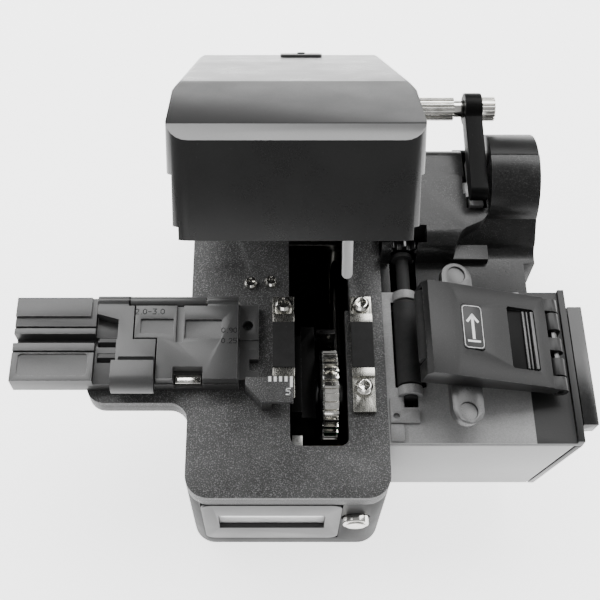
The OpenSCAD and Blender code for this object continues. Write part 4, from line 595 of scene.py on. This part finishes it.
# cover label: thin outline and an arrow, no words; each stroke is its points and its width
label = {"halfX": 2.1, "halfY": 4.9, "corner": 0.8, "line": 0.12, "sunk": 0.02, "ink": 0.03,
         "strokes": ((((0.0, -2.6), (0.0, 2.4)), 0.6), (((-1.1, 1.3), (0.0, 2.7), (1.1, 1.3)), 0.55),
                     (((-1.2, -3.4), (1.2, -3.4)), 0.45))}
outline = roundedPlan(-label["halfX"], -label["halfY"], label["halfX"], label["halfY"], label["corner"])
sign = Shape(topFrame("cover_label"))
for points, width in ((outline + outline[:1], label["line"]), *label["strokes"]):
    sign.stroke(points, width, -label["sunk"], label["ink"])
detail("label_arrow", sign, "cover_label", "whiteInk")
print("details made")

# studio
studio = {"floorSize": 1.7, "floorTone": 0.90, "skyTone": 1.0, "skyStrength": 0.42, "floorGlow": 2.4}
# place, aim, size in metres and power in watts
lights = {
    "topBox": {"place": (0.0, 0.58, 0.86), "size": (1.5, 0.6), "power": 20.0},
    "leftBox": {"place": (-0.85, 0.35, 0.75), "size": (0.6, 0.9), "power": 7.0},
    "rightBox": {"place": (0.90, 0.35, 0.75), "size": (0.6, 0.9), "power": 7.0},
    "frontBox": {"place": (-0.25, -0.95, 0.30), "size": (0.7, 0.2), "power": 1.0},
}


def studioFloor():
    g = Graph("paleFloor")
    tone = studio["floorTone"]
    colour = g.blend(g.noise(60, 2).spread(0.3, 0.7), grey(tone * 0.985), grey(tone))
    g.finish(colour, 0.6, plain={"Specular IOR Level": 0.2, "Emission Color": (1, 1, 1, 1),
                                 "Emission Strength": studio["floorGlow"]})
    mesh = bpy.data.meshes.new("floorMesh")
    half = studio["floorSize"] / 2
    corners = [(-half, -half, 0), (half, -half, 0), (half, half, 0), (-half, half, 0)]
    mesh.from_pydata(corners, [], [(0, 1, 2, 3)])
    floor = bpy.data.objects.new("floor", mesh)
    mesh.materials.append(g.material)
    bpy.context.scene.collection.objects.link(floor)


def softLight(name, look):
    data = bpy.data.lights.new(name, "AREA")
    data.shape = "RECTANGLE"
    data.size, data.size_y = look["size"]
    data.energy = look["power"]
    lamp = bpy.data.objects.new(name, data)
    lamp.location = look["place"]
    lamp.rotation_euler = (Vector((0, 0, 0.03)) - Vector(look["place"])).to_track_quat("-Z", "Y").to_euler()
    bpy.context.scene.collection.objects.link(lamp)


studioFloor()
for name, look in lights.items():
    softLight(name, look)
world = bpy.data.worlds.new("studioWorld")
world.use_nodes = True
world.node_tree.nodes["Background"].inputs[0].default_value = grey(studio["skyTone"])
world.node_tree.nodes["Background"].inputs[1].default_value = studio["skyStrength"]
bpy.context.scene.world = world

view = {"place": (-2.9, -111.5, 243.0), "elevation": 62.0, "lens": 62.16, "shiftX": 0.0433}
cameraData = bpy.data.cameras.new("camera")
cameraData.lens = view["lens"]
cameraData.sensor_width = 36
cameraData.shift_x = view["shiftX"]
cameraData.clip_start = 0.01
camera = bpy.data.objects.new("camera", cameraData)
camera.location = Vector(view["place"]) * mm
camera.rotation_euler = (math.radians(90 - view["elevation"]), 0, 0)
bpy.context.scene.collection.objects.link(camera)
bpy.context.scene.camera = camera
print("studio set")
